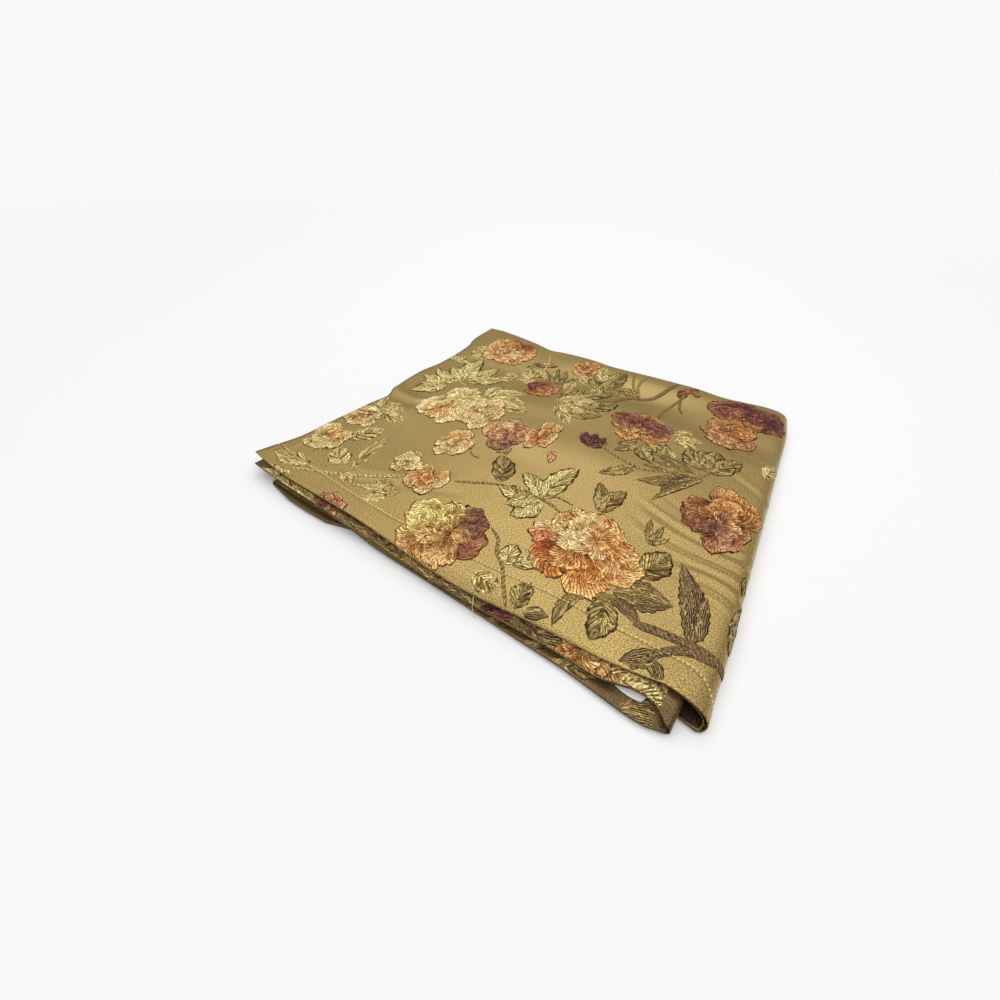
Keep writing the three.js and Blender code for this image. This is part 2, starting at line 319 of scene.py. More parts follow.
def relief(x, y):
    """How far the top of the pile stands out of its smooth form. On the fold, x goes on along the cloth."""
    height = np.zeros(np.broadcast(x, y).shape)
    for runs, stations, offsets, tall, reach in CREASES:
        along, across = (x, y) if runs == "x" else (y, x)
        path = np.polyval(np.polyfit(stations, offsets, 3), np.clip(along, stations[0], stations[-1]))
        fade = 0.25 * (stations[-1] - stations[0])
        inside = smoothstep(along, stations[0], stations[0] + fade)
        inside = inside * (1 - smoothstep(along, stations[-1] - 0.3 * fade, stations[-1]))
        height += tall * inside * np.exp(-(((across - path) / reach) ** 2))
    hem = curve(HEM, "x", "y", x)
    height += (HEM_PROUD * (1 - smoothstep(y, hem - 2.5, hem + 1.0))
               - HEM_GROOVE * np.exp(-(((y - hem) / HEM_GROOVE_REACH) ** 2)))
    end = left_end("top", y) + END_HEM
    return height - END_GROOVE * np.exp(-(((x - end) / END_GROOVE_REACH) ** 2))


def fold_length(share, deep, pieces=12):
    """How far along the cloth a place on the big fold is from where the fold starts."""
    steps = [fold_place("top", "outer", share * k / pieces, deep) for k in range(pieces + 1)]
    return sum(np.linalg.norm(b - a, axis=-1) for a, b in zip(steps, steps[1:]))


print(len(CREASES), "creases and", len(SWELLS["x"]), "broad humps and hollows")

# %% [markdown]
# ## The satin
#
# The cloth is one sheet with no seams, so it is one closed mesh: rows of places across the doubled cloth,
# set side by side from the free end on top, through the folds, to the free end inside the pile. The rows
# lie close where creases and edges show, and far apart in the hidden layers.


# %% The folded sheet
def steps(*stretches):
    """Shares of the way, in stretches of (start, end, number of steps)."""
    shares = [np.linspace(start, end, count, endpoint=False) for start, end, count in stretches]
    return np.concatenate(shares + [[stretches[-1][1]]])


ALONG = {
    "top": steps((0, 0.06, 7), (0.06, 0.6, 50), (0.6, 1, 60)),
    "bottom": steps((0, 0.25, 4), (0.25, 0.38, 12), (0.38, 1, 8)),
    "third": steps((0, 0.25, 4), (0.25, 0.38, 10), (0.38, 0.8, 6), (0.8, 1, 9)),
    "second": steps((0, 0.8, 14), (0.8, 1, 10)),
}
OUTER_DEPTHS = steps((0, 0.02, 8), (0.02, 0.044, 5), (0.044, 0.068, 14), (0.068, 0.42, 84), (0.42, 0.7, 36),
                     (0.7, 1, 20))
INNER_DEPTHS = steps((0, 0.03, 8), (0.03, 0.09, 6), (0.09, 1, 12))
FOLD_STEPS = {"top": 24, "bottom": 8, "third": 8}
BACK_STEPS = 6


def back_turn(start, end):
    """The half turn from the outer cloth to the inner one, round the back fold."""
    centre, arm = (start + end) / 2, (start - end) / 2
    reach = np.linalg.norm(arm, axis=-1, keepdims=True) * np.array([0, 1, 0])
    angles = np.pi * np.arange(1, BACK_STEPS) / BACK_STEPS
    return [centre + arm * math.cos(a) + reach * math.sin(a) for a in angles]


# how much of its gold a cloth of a strip keeps inside the pile, and what is left of that at the small fold:
# painted shade, which takes the right side of the cloths in the pile towards the brown of the wrong side
GOLD_KEPT_IN_PAINTED_SHADE = {"top": 0.2, "bottom": 0.15, "third": 0.15, "second": 0.45}
PAINTED_SHADE_AT_SMALL_FOLD = 0.3
# for each place on the sheet: where it is, how far its crease stands out, and how much gold it keeps under
# painted shade
rows, outstand, shown = [], [], []
for strip, layers in STRIPS.items():
    shares = ALONG[strip] if layers["runs"] == "right" else ALONG[strip][::-1]
    stations = [(place, share) for share in shares]
    if strip in FOLDS:
        stations += [(fold_place, k / FOLD_STEPS[strip]) for k in range(1, FOLD_STEPS[strip])]
    for where, share in stations:
        folded = where is fold_place
        outer = where(strip, "outer", np.full(OUTER_DEPTHS.shape, share), OUTER_DEPTHS)
        inner = where(strip, "inner", np.full(INNER_DEPTHS.shape, share), INNER_DEPTHS)[::-1]
        rows.append(np.vstack([outer, back_turn(outer[-1], inner[0]), inner]))
        crease, gold = np.zeros(len(rows[-1])), np.full(len(rows[-1]), GOLD_KEPT_IN_PAINTED_SHADE[strip])
        # painted shade: near the small folds these cloths keep even less of their gold
        if strip in ("third", "second") and (folded or share > 0.88):
            gold *= PAINTED_SHADE_AT_SMALL_FOLD
        if strip == "top":
            along = outer[:, 0]
            if folded:
                start = place("top", "outer", np.ones(OUTER_DEPTHS.shape), OUTER_DEPTHS)[:, 0]
                along = start + fold_length(np.full(OUTER_DEPTHS.shape, share), OUTER_DEPTHS)
            crease[: len(outer)] = relief(along, outer[:, 1])
            gold[: len(outer) + BACK_STEPS] = 1.0
            if folded:
                crease *= 1 - smoothstep(share, 0.5, 0.9)
        outstand.append(crease)
        shown.append(gold)
grid, outstand, shown = np.array(rows), np.array(outstand), np.array(shown)


def new_mesh(name, points, faces, uv_name, uv):
    """A smooth mesh through places in millimetres, with a UV map that is given for each place."""
    mesh = bpy.data.meshes.new(name)
    mesh.from_pydata((points * MM).tolist(), [], faces.tolist())
    mesh.polygons.foreach_set("use_smooth", np.ones(len(faces), bool))
    mesh.uv_layers.new(name=uv_name).data.foreach_set("uv", (uv[faces.ravel()] * MM).ravel())
    return mesh


def quads_of(index):
    """The faces of a grid of numbered places."""
    return np.stack([index[:-1, :-1], index[1:, :-1], index[1:, 1:], index[:-1, 1:]], -1)


def normals_of(points):
    """The direction that a grid of places faces."""
    normal = np.cross(np.gradient(points, axis=0), np.gradient(points, axis=1))
    return normal / np.linalg.norm(normal, axis=-1, keepdims=True)


def sheet_mesh(name, grid, thickness, outstand=0.0, shown=1.0):
    """A closed sheet of even thickness about a grid of places, with a UV map of the flat cloth."""
    normal = normals_of(grid)
    grid = grid + normal * np.broadcast_to(outstand, grid.shape[:2])[..., None]
    points = np.concatenate([(grid + side * normal * thickness / 2).reshape(-1, 3) for side in (1, -1)])
    count, width = grid.shape[:2]
    index = np.arange(count * width).reshape(count, width)
    upper = quads_of(index).reshape(-1, 4)
    lower = upper[:, [0, 3, 2, 1]] + count * width
    rim = np.concatenate([index[:-1, 0], index[-1, :-1], index[:0:-1, -1], index[0, :0:-1]])
    after = np.roll(rim, -1)
    edge = np.stack([rim + count * width, after + count * width, after, rim], -1)
    ran = np.cumsum(np.linalg.norm(np.diff(grid, axis=0, prepend=grid[:1]), axis=-1).mean(1))
    deep = np.cumsum(np.linalg.norm(np.diff(grid, axis=1, prepend=grid[:, :1]), axis=-1), 1)
    flat = np.stack([np.broadcast_to(ran[:, None], deep.shape), deep], -1).reshape(-1, 2)
    faces = np.concatenate([upper, lower, edge])
    mesh = new_mesh(name, points, faces, "flat cloth", np.concatenate([flat, flat]))
    # shown is how much gold the right side keeps: below 1 it is painted shade; the lower face is the wrong
    # side
    gold = np.broadcast_to(shown, (count, width)).ravel()
    side = mesh.attributes.new("right_side_and_painted_shade", "FLOAT", "POINT")
    side.data.foreach_set("value", np.concatenate([gold, 0 * gold]))
    return mesh, ran[-1], deep[:, -1].mean()


satin_mesh, flat_length, flat_width = sheet_mesh("satin_cloth", grid, SHEET, outstand, shown)
raw_low, raw_high = grid.min((0, 1)), grid.max((0, 1))
shift = (np.array(panel_low) + np.array(panel_high)) / 2 - MM * (raw_low + raw_high) / 2
shift[2] = 0
TO_FRAME = Matrix.Translation(shift)  # takes the pile to the middle of the CAD model
satin_mesh.transform(TO_FRAME)


def add_piece(name, mesh, material=None):
    """A finished mesh as a piece that lies with the cloth."""
    piece = bpy.data.objects.new(name, mesh)
    bpy.context.scene.collection.objects.link(piece)
    if material:
        mesh.materials.append(material)
    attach(piece, "root")
    return piece


satin = add_piece("satin_cloth", satin_mesh)
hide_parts("curtain_panel")
print("satin:", len(satin_mesh.polygons), "faces; flat", round(flat_length), "by", round(flat_width), "mm")
print("it was moved by", np.round(1000 * shift, 1), "mm")

# %% [markdown]
# ## How thread lies on the cloth
#
# The motifs are worked on the flat cloth before it is folded, so they are laid out in two measures: x along
# the length of the cloth and y across it, in millimetres from the middle of the top. The same map takes
# them round the big right fold and over the long fold at the back. At the free edges the thread sinks into
# the cloth.

# %% From the flat layout to the folded cloth
ROUND_FOLD = np.linspace(0, 0.8, 33)  # shares of the big fold that the embroidery can follow
OVER_BACK = 2.6  # how far the embroidery is followed over the back fold
ROUND_SIDE = 322.0  # how far along the cloth it is followed round the big fold
SHORT_OF_FRONT, SHORT_OF_END, SHORT_INSIDE = 0.6, 0.8, 0.4  # how far inside its edges the thread stops
SHOWN_DEPTH = 40.0  # how far back from their front edges the inner cloths are worked
AT_ENDS = 8.0  # how far from the ends of its strip that work stops
ROOTED = -0.2  # how deep the thread goes into the cloth at the rim of a motif


def cloth_middle(x, y):
    """The middle of the top cloth at a place of the flat layout."""
    x, y = np.broadcast_arrays(np.asarray(x, float), np.asarray(y, float))
    back = curve(BACK, "x", "fold", x)
    flat_y = np.minimum(y, back)
    height = lie(STRIPS["top"]["outer"], x, flat_y)
    radius = PITCH / 2 * press(x, back)
    turn = np.maximum(y - back, 0) / radius
    point = np.stack([x, flat_y + radius * np.sin(turn), height - radius * (1 - np.cos(turn))], -1)
    full = BACK["fold"][0] - FRONT["top"][0]
    deep = (y - FRONT["top"][0]) / full
    start = place("top", "outer", np.ones(x.shape), deep)
    deep = deep + (y - start[..., 1]) / full
    start = place("top", "outer", np.ones(x.shape), deep)[..., 0]
    beyond = x > start
    if beyond.any():
        path = np.array([fold_place("top", "outer", share, deep[beyond]) for share in ROUND_FOLD])
        ran = np.cumsum(np.linalg.norm(np.diff(path, axis=0, prepend=path[:1]), axis=-1), 0)
        want = (x - start)[beyond]
        step = np.clip((ran <= want).sum(0) - 1, 0, len(ROUND_FOLD) - 2)
        each = np.arange(len(want))
        share = (want - ran[step, each]) / (ran[step + 1, each] - ran[step, each])
        point[beyond] = lerp(path[step, each], path[step + 1, each], share[:, None])
    return point


def inner_middle(layer):
    """The same for one of the cloths inside the pile, whose right side shows along the front."""
    def middle(x, y):
        return np.stack([x, y, lie(STRIPS[layer[0]][layer[1]], x, y)], -1)
    return middle


def on_cloth(x, y, lift, middle=cloth_middle):
    """A place that stands off the right side of a cloth."""
    near = 0.6  # how far to either side the slope of the cloth is felt
    normal = np.cross(middle(x + near, y) - middle(x - near, y), middle(x, y + near) - middle(x, y - near))
    normal /= np.linalg.norm(normal, axis=-1, keepdims=True)
    crease = relief(x, y) if middle is cloth_middle else 0
    return middle(x, y) + normal * (crease + SHEET / 2 + lift)[..., None]


TOP = ("top", "outer")


def edges(layer, x, y):
    """Front, back, left and right limits of the embroidery on a cloth."""
    if layer == TOP:
        return (front_edge(*TOP, x) + SHORT_OF_FRONT, curve(BACK, "x", "fold", x) + OVER_BACK,
                left_end("top", y) + SHORT_OF_END, ROUND_SIDE + 0 * y)
    front = front_edge(*layer, x) + SHORT_INSIDE
    return front, front + SHOWN_DEPTH, left_end(layer[0], y) + AT_ENDS, right_end(layer[0], y) - AT_ENDS


def srgb(*colours):
    """Colours of the maker's shade card, given out of 255, as linear light."""
    value = np.array(colours) / 255
    return np.where(value <= 0.04045, value / 12.92, ((value + 0.055) / 1.055) ** 2.4)


def thread_piece(name, points, faces, colour, run, material):
    """A piece made of thread, through places that have each a colour and a run along the thread."""
    mesh = new_mesh(name, points, faces, "run_of_thread", run)
    paint = mesh.color_attributes.new("thread_colour", "FLOAT_COLOR", "POINT")
    paint.data.foreach_set("color", np.column_stack([colour, np.ones(len(colour))]).ravel())
    mesh.transform(TO_FRAME)
    print(name + ":", 2 * len(faces), "triangles")
    return add_piece(name, mesh, material)


def sew(name, patches, material, layer=TOP, flatten=1.0):
    """Joins patches, each an open grid of thread with lift, colours and run, into one piece on a cloth."""
    points, faces, colours, runs, count = [], [], [], [], 0
    for x, y, lift, colour, run in patches:
        front, back, left, right = edges(layer, x, y)
        inside = np.minimum.reduce([y - front, back - y, x - left, right - x])
        x, y = np.clip(x, left, right), np.clip(y, front, back)
        lift = np.minimum(np.where(lift > 0, flatten * lift, lift), 0.6 * np.maximum(inside, 0) + ROOTED)
        quads = quads_of(count + np.arange(x.size).reshape(x.shape))
        seen = quads_of(inside).max(-1) > 0
        turned = (np.diff(x, axis=0)[:, :-1] * np.diff(y, axis=1)[:-1] - np.diff(y, axis=0)[:, :-1]
                  * np.diff(x, axis=1)[:-1]).sum() < 0
        points.append(np.stack([x, y, lift], -1).reshape(-1, 3))
        faces.append(quads[seen][:, ::-1] if turned else quads[seen])
        colours.append(colour.reshape(-1, 3))
        runs.append(run.reshape(-1, 2))
        count += x.size
    points, faces = np.concatenate(points), np.concatenate(faces)
    used, faces = np.unique(faces, return_inverse=True)
    middle = cloth_middle if layer == TOP else inner_middle(layer)
    return thread_piece(name, on_cloth(*points[used].T, middle), faces.reshape(-1, 4),
                        np.concatenate(colours)[used], np.concatenate(runs)[used], material)


print("the middle of the cloth, 330 mm along, is at", np.round(cloth_middle(330, 0)), "mm")

# %% [markdown]
# ## The shades of thread
#
# Each motif is worked in three shades of one colour: a deep one in the furrows and at the root, a middle
# one, and a light one on the crests and towards the tip. On a petal, the deep shade at its root and sides
# is painted shade under the petals that overlap it, and the light shade at its rim is painted highlight. A
# few threads catch the light more than their neighbours.

# %% Shade card
SHADES = {
    "peach": srgb((100, 54, 26), (192, 136, 76), (246, 214, 148)),
    "orange": srgb((108, 50, 20), (200, 124, 58), (248, 204, 126)),
    "rust": srgb((66, 32, 18), (136, 78, 42), (194, 136, 84)),
    "cream": srgb((124, 86, 42), (230, 200, 126), (255, 250, 200)),
    "yellow": srgb((116, 84, 34), (210, 182, 102), (252, 238, 164)),
    "pink": srgb((104, 50, 34), (196, 130, 82), (246, 206, 152)),
    "red": srgb((104, 38, 22), (180, 80, 42), (226, 146, 86)),
    "plum": srgb((44, 18, 24), (92, 44, 48), (152, 94, 82)),
    "dark": srgb((54, 38, 20), (104, 80, 44), (200, 172, 110)),
    "brown": srgb((50, 34, 22), (104, 78, 48), (192, 164, 108)),
    "olive": srgb((62, 44, 20), (132, 108, 56), (204, 180, 112)),
    "gray": srgb((70, 54, 30), (132, 110, 64), (208, 182, 116)),
    "light": srgb((76, 54, 24), (180, 154, 84), (244, 228, 158)),
    "pale": srgb((100, 76, 36), (182, 156, 88), (236, 216, 146)),
}
# the two kinds that are blended into the petals of a rose of each kind
BLENDS = {
    "peach": ("cream", "orange"), "orange": ("peach", "red"), "rust": ("plum", "orange"),
    "red": ("plum", "orange"), "cream": ("yellow", "peach"), "yellow": ("cream", "peach"),
    "pink": ("peach", "plum"),
}
OUTLINE = srgb(56, 36, 20)
THREAD = 3.0  # from one thread to the next


def shade(kind, tone):
    """Colours between the three shades of a kind, for tones from 0, the deepest, to 1, the lightest."""
    deep, middle, light = SHADES[kind]
    tone = np.clip(tone, 0, 1)[..., None]
    return np.where(tone < 0.5, lerp(deep, middle, 2 * tone), lerp(middle, light, 2 * tone - 1))


def furrows(threads, wide=0.3):
    """Three places for each thread of a fan, one in its furrow and two on its crest, and a last furrow.

    Gives how far across each is, from 0 to 1, the thread it is on, and 1 for a crest or 0 for a furrow.
    """
    count = np.arange(3 * threads + 1)
    across = (count // 3 + np.array([0, wide, 1.02 - wide])[count % 3]) / threads
    return across, count // 3, np.where(count % 3 == 0, 0.0, 1.0)


def bound(x, y, lift, colour, run, sides=True):
    """A patch with its rim taken down into the cloth, in the colour of the outline."""
    ring = ((0, 1), (1, 1) if sides else (0, 0))
    x, y, lift = (np.pad(values, ring, mode="edge") for values in (x, y, lift))
    colour, run = (np.pad(values, ring + ((0, 0),), mode="edge") for values in (colour, run))
    edge = np.zeros(lift.shape, bool)
    edge[-1] = True
    if sides:
        edge[:, 0] = edge[:, -1] = True
    lift[edge], colour[edge] = ROOTED, OUTLINE
    return x, y, lift, colour, run


print(len(SHADES), "kinds of thread")

# %% [markdown]
# ## Roses
#
# A rose is worked in rings of petals from the outside in. Each petal is a fan of threads from its root to
# its rim; the rim is ruffled, stands a little higher than the ring outside it, and has a broken dark line
# round it. The heart of the rose is set to one side, as it is when a rose is drawn from the side. Washes
# blend in a second colour near a place on the flower, such as plum where a petal turns away.

# %% Petals and roses
# petals in the ring, from root to rim in shares of the radius, overlap of neighbours, lift in millimetres
BIG_ROSE = [(7, 0.45, 1.0, 1.3, 0.6), (7, 0.34, 0.82, 1.25, 0.75), (6, 0.22, 0.64, 1.3, 0.9),
            (5, 0.1, 0.46, 1.35, 1.05), (4, 0.0, 0.27, 1.45, 1.2)]
SMALL_ROSE = [(6, 0.36, 1.0, 1.3, 0.6), (5, 0.18, 0.7, 1.35, 0.8), (3, 0.0, 0.4, 1.5, 1.0)]
# x, y, width, height, kind, side to which the heart is set, washes of (dx, dy, reach, kind, strength)
ROSES = [
    (143, -190, 138, 132, "peach", (0.12, 0.3), [(-24, 6, 20, "cream", 1.0), (-50, -22, 20, "red", 0.8),
        (0, -50, 30, "orange", 0.9), (22, 34, 24, "orange", 0.7), (40, -40, 24, "orange", 0.8)]),
    (-5, -262, 112, 126, "orange", (0.25, 0.1), [(-40, 16, 46, "yellow", 1.0), (36, 30, 22, "plum", 0.85),
        (22, 58, 18, "plum", 0.9), (46, -8, 16, "plum", 0.6), (5, -20, 26, "peach", 0.7)]),
    (242, 236, 122, 116, "rust", (0.1, 0.2), [(24, 30, 34, "plum", 0.9), (50, 2, 22, "plum", 0.9),
        (-30, 20, 26, "plum", 0.5)]),
    (234, 168, 104, 96, "rust", (0.0, -0.15), [(-10, -20, 40, "peach", 0.6), (20, 20, 30, "orange", 0.6)]),
    (-172, -25, 96, 150, "cream", (0.0, -0.2), [(-6, -30, 24, "orange", 0.6), (10, 50, 30, "yellow", 0.6)]),
    (-118, -22, 78, 112, "peach", (-0.25, 0.3), [(-20, 40, 30, "cream", 0.9), (10, -20, 24, "cream", 0.6)]),
    (-102, -112, 56, 84, "peach", (0.1, 0.2), [(10, -20, 20, "cream", 0.5)]),
    (-264, -135, 70, 66, "cream", (0.0, -0.1), [(6, -8, 15, "peach", 0.8)]),
    (-262, -205, 76, 72, "cream", (0.1, 0.2), [(8, 10, 12, "orange", 0.8)]),
    (264, -50, 94, 126, "rust", (-0.15, -0.4), [(-4, -20, 17, "plum", 0.8), (34, 6, 30, "peach", 0.9),
        (8, 44, 28, "orange", 0.7), (20, -44, 20, "pink", 0.6)]),
    (108, 95, 104, 98, "orange", (-0.35, 0.1), [(-22, 16, 30, "plum", 0.85), (28, 2, 22, "plum", 0.8),
        (36, 22, 14, "plum", 0.6), (0, -34, 24, "peach", 0.6)]),
    (-205, 215, 110, 130, "orange", (-0.1, -0.25), [(10, 58, 24, "plum", 0.8), (-20, -14, 44, "peach", 0.9),
        (24, -6, 20, "cream", 0.5)]),
    (-52, -48, 68, 90, "pink", (0.15, -0.2), [(20, -30, 20, "plum", 0.6), (-16, 24, 18, "cream", 0.4)]),
    (-4, -20, 44, 92, "peach", (0.0, 0.1), [(6, -30, 18, "red", 0.4)]),
    (-80, -200, 58, 70, "peach", (0.05, 0.1), [(-4, -4, 10, "orange", 0.6)]),
    (-125, -185, 46, 56, "yellow", (0.0, 0.0), [(0, 0, 14, "cream", 0.6)]),
    (-84, 120, 64, 68, "red", (0.2, -0.1), [(-22, 4, 22, "plum", 0.9), (14, -8, 16, "peach", 0.5)]),
    (-50, 240, 56, 66, "orange", (0.1, 0.2), [(-8, -8, 26, "peach", 0.9)]),
    (-145, -302, 50, 38, "pink", (0.0, 0.0), []),
]
BIG = 150  # a rose whose width and height add up to more than this has the big rings
LARGE = 190  # and with more than this it joins the large roses
PETAL_ROW = 3.2  # from one row of places to the next, along a petal
LINE_WIDTH = 1.6  # width of the line round a petal


def petal(rng, centre, radii, ring, around, size, wash, kind):
    """One petal of a ring: a fan of threads with a ruffled rim."""
    petals, root, rim, overlap, lift = ring
    half, mean = math.pi / petals * overlap * size, radii.mean()
    threads = max(5, round(half * (root + rim) * mean / THREAD))
    rows = max(5, round((rim - root) * mean / PETAL_ROW))
    across, thread, crest = furrows(threads)
    s = 2 * across - 1
    line = min(0.3, LINE_WIDTH / ((rim - root) * mean))
    t = np.concatenate([np.linspace(0, 1 - line, rows), [1 - 0.8 * line, 1.0]])[:, None]
    waves = rng.integers(2, 5)
    ruffle = 0.06 * np.sin(waves * np.pi * s + rng.uniform(0, 6))
    ruffle = ruffle + rng.normal(0, 0.025, threads + 1)[thread]
    top = root + (rim - root) * ((1 - 0.6 * np.abs(s) ** 2.6) + ruffle)
    radius = root + (top - root) * t
    bend, sway = rng.uniform(-0.8, 0.8) * half, rng.uniform(-0.12, 0.12)
    angle = around + half * s * (0.5 + 0.5 * t ** 0.6) + bend * t ** 2 + sway * np.sin(2 * np.pi * t)
    x = centre[0] + radii[0] * radius * np.cos(angle)
    y = centre[1] + radii[1] * radius * np.sin(angle)
    dome = 0.4 * (1 - s ** 2) * np.sin(np.pi * (0.15 + 0.8 * t)) + 0.18 * np.sin(waves * np.pi * s) * t
    height = lift + dome + 0.16 * crest - 0.25 * (t > 0.99)
    # painted shade at the root, under the rim of the ring inside it, and painted highlight at the rim;
    # petals, threads and places along a thread all differ a little
    tone = 0.36 + 0.54 * np.clip((t - 0.4) / 0.5, 0, 1) ** 0.9 + 0.1 * rng.normal()
    tone = tone + 0.1 * rng.normal(size=threads + 1)[thread]
    tone = tone + 0.15 * rng.normal(size=(len(t), threads + 1))[:, thread]
    # darker in the furrows between threads; painted shade along the sides of the petal, where its
    # neighbours overlap it
    tone = tone - 0.7 * (1 - crest) - 0.7 * np.abs(s) ** 7
    colour = lerp(shade(kind, tone), shade(BLENDS[kind][rng.integers(2)], tone), rng.uniform(0, 0.6))
    for dx, dy, reach, other, strength in wash:
        near = np.exp(-((x - dx) ** 2 + (y - dy) ** 2) / reach ** 2)
        colour = lerp(colour, shade(other, tone), np.clip(1.6 * strength * near, 0, strength)[..., None])
    colour[-2:] = lerp(OUTLINE, SHADES[kind][1], np.clip(rng.normal(0.3, 0.35, len(s)), 0, 0.9)[:, None])
    run = np.stack(np.broadcast_arrays(s * threads * THREAD / 2, (top - root) * mean * t), -1)
    return bound(x, y, height, colour, run)


def rose(seed, x, y, width, height, kind, heart, washes):
    rng = np.random.default_rng(seed)
    radii = np.array([width, height]) / 2
    patches = []
    wash = [(x + dx, y + dy, reach, other, strength) for dx, dy, reach, other, strength in washes]
    for petals, root, rim, overlap, lift in BIG_ROSE if width + height > BIG else SMALL_ROSE:
        centre = np.array([x, y]) + np.array(heart) * radii * (1 - rim)
        start = rng.uniform(0, 2 * math.pi)
        for k in rng.permutation(petals):
            around = start + 2 * math.pi * (k + rng.uniform(-0.16, 0.16)) / petals
            size, reach = rng.uniform(0.8, 1.2), rng.uniform(0.88, 1.06)
            here = (petals, root, rim * reach, overlap, lift + rng.uniform(0, 0.16))
            patches.append(petal(rng, centre, radii, here, around, size, wash, kind))
    return patches


large_roses, small_roses = [], []
for seed, row in enumerate(ROSES):
    (large_roses if row[2] + row[3] > LARGE else small_roses).extend(rose(seed, *row))
print(len(ROSES), "roses of", len(large_roses) + len(small_roses), "petals")

# %% [markdown]
# ## Leaves and stems
#
# A leaf is two halves that meet at a cord along its midrib, with a toothed margin and a broken line round
# it. The threads slant out from the midrib, but in the darkest kinds they run from root to tip. One half of
# every leaf is painted a shade lighter than the other, as painted light. Stems are couched cords: two or
# four strands with a slight twist, along a smooth line.

# %% Leaves and stems
# root x and y, tip x and y, width, bend to the left, kind
LEAVES = [
    (222, 18, 148, -42, 26, 6, "dark"), (224, 14, 178, -70, 14, -4, "dark"),
    (222, 22, 140, 12, 17, 5, "olive"), (140, -12, 100, -58, 20, 3, "olive"),
    (228, 36, 206, 92, 30, 4, "olive"), (230, 36, 246, 88, 33, -4, "olive"),
    (205, 30, 168, 24, 13, 2, "olive"), (122, 48, 98, 6, 16, 2, "olive"),
    (126, 48, 156, 8, 27, -5, "olive"), (158, 60, 176, 30, 20, 2, "pale"),
    (165, 85, 198, 110, 22, 2, "pale"), (64, -144, 76, -60, 33, 6, "light"),
    (60, -146, 14, -112, 26, -5, "light"), (64, -150, 44, -196, 28, 5, "light"),
    (2, -148, -30, -96, 33, -4, "gray"), (132, -126, 110, -72, 20, -3, "olive"),
    (134, -126, 148, -70, 26, 4, "olive"), (201, -144, 190, -102, 10, 1, "olive"),
    (201, -144, 207, -106, 10, -1, "olive"), (203, -144, 219, -122, 11, 1, "olive"),
    (199, -196, 226, -142, 37, -5, "olive"), (192, -230, 250, -213, 40, 4, "dark"),
    (276, -246, 240, -150, 28, -7, "brown"), (281, -238, 276, -182, 18, 3, "brown"),
    (186, -242, 194, -296, 31, 6, "olive"), (168, -244, 158, -302, 15, -6, "olive"),
    (188, -236, 232, -254, 15, 3, "brown"), (118, -304, 117, -266, 23, 2, "olive"),
    (128, -303, 152, -294, 15, 2, "dark"), (60, -292, 94, -296, 27, 1, "pale"),
    (252, -272, 224, -300, 19, 2, "dark"), (246, -280, 262, -302, 15, 2, "dark"),
    (82, -262, 76, -228, 24, 2, "light"), (-172, -242, -188, -150, 18, 6, "pale"),
    (-230, -192, -206, -142, 32, 3, "pale"), (-190, -240, -228, -214, 32, 3, "pale"),
    (-226, -262, -292, -273, 28, 3, "pale"), (-232, -112, -243, -84, 12, 1, "light"),
    (-232, -112, -225, -88, 12, 1, "light"), (-226, -115, -212, -104, 10, 1, "pale"),
    (-226, -296, -284, -304, 22, 2, "pale"), (-182, -250, -150, -266, 16, 1, "pale"),
    (-214, 58, -232, 156, 38, 6, "light"), (-208, 60, -194, 120, 30, -4, "light"),
    (-222, 52, -278, 66, 26, 5, "light"), (-216, 42, -284, 30, 28, 3, "light"),
    (-230, 25, -262, -30, 33, 3, "light"), (-238, 158, -270, 176, 27, 2, "pale"),
    (-282, 125, -262, 112, 22, 1, "light"), (-145, 176, -92, 165, 29, 3, "light"),
    (-165, 104, -142, 122, 20, 1, "pale"), (-168, 140, -140, 128, 20, 1, "pale"),
    (-140, 48, -90, 80, 29, 3, "pale"), (-128, 30, -72, 48, 30, 3, "pale"),
    (-100, 5, -58, 38, 27, 2, "pale"), (-38, 86, -2, 140, 22, 3, "pale"), (22, 96, 52, 150, 37, 4, "olive"),
    (-8, 60, 46, 92, 37, 4, "olive"), (-40, 100, -28, 160, 22, 2, "olive"),
    (-22, 110, 22, 128, 27, 2, "light"), (14, 200, 22, 266, 37, 4, "olive"),
    (-5, 215, -22, 266, 24, 3, "pale"), (-45, 140, -50, 190, 22, 2, "pale"),
    (4, 150, -2, 205, 22, 2, "pale"), (296, 70, 306, 118, 21, 2, "pale"),
    (312, -226, 311, -164, 17, 1, "brown"), (308, -150, 306, -122, 9, 1, "dark"),
    (24, -48, 36, -76, 13, 2, "pink"), (130, 262, 134, 232, 19, 1, "rust"),
    (150, 272, 158, 248, 14, 1, "rust"), (66, -6, 44, 30, 22, 3, "plum"), (74, -4, 76, 32, 17, 2, "plum"),
    (66, -6, 60, 35, 20, 1, "plum"), (66, -9, 38, 28, 11, 3, "olive"), (69, -9, 83, 22, 12, -2, "olive"),
]
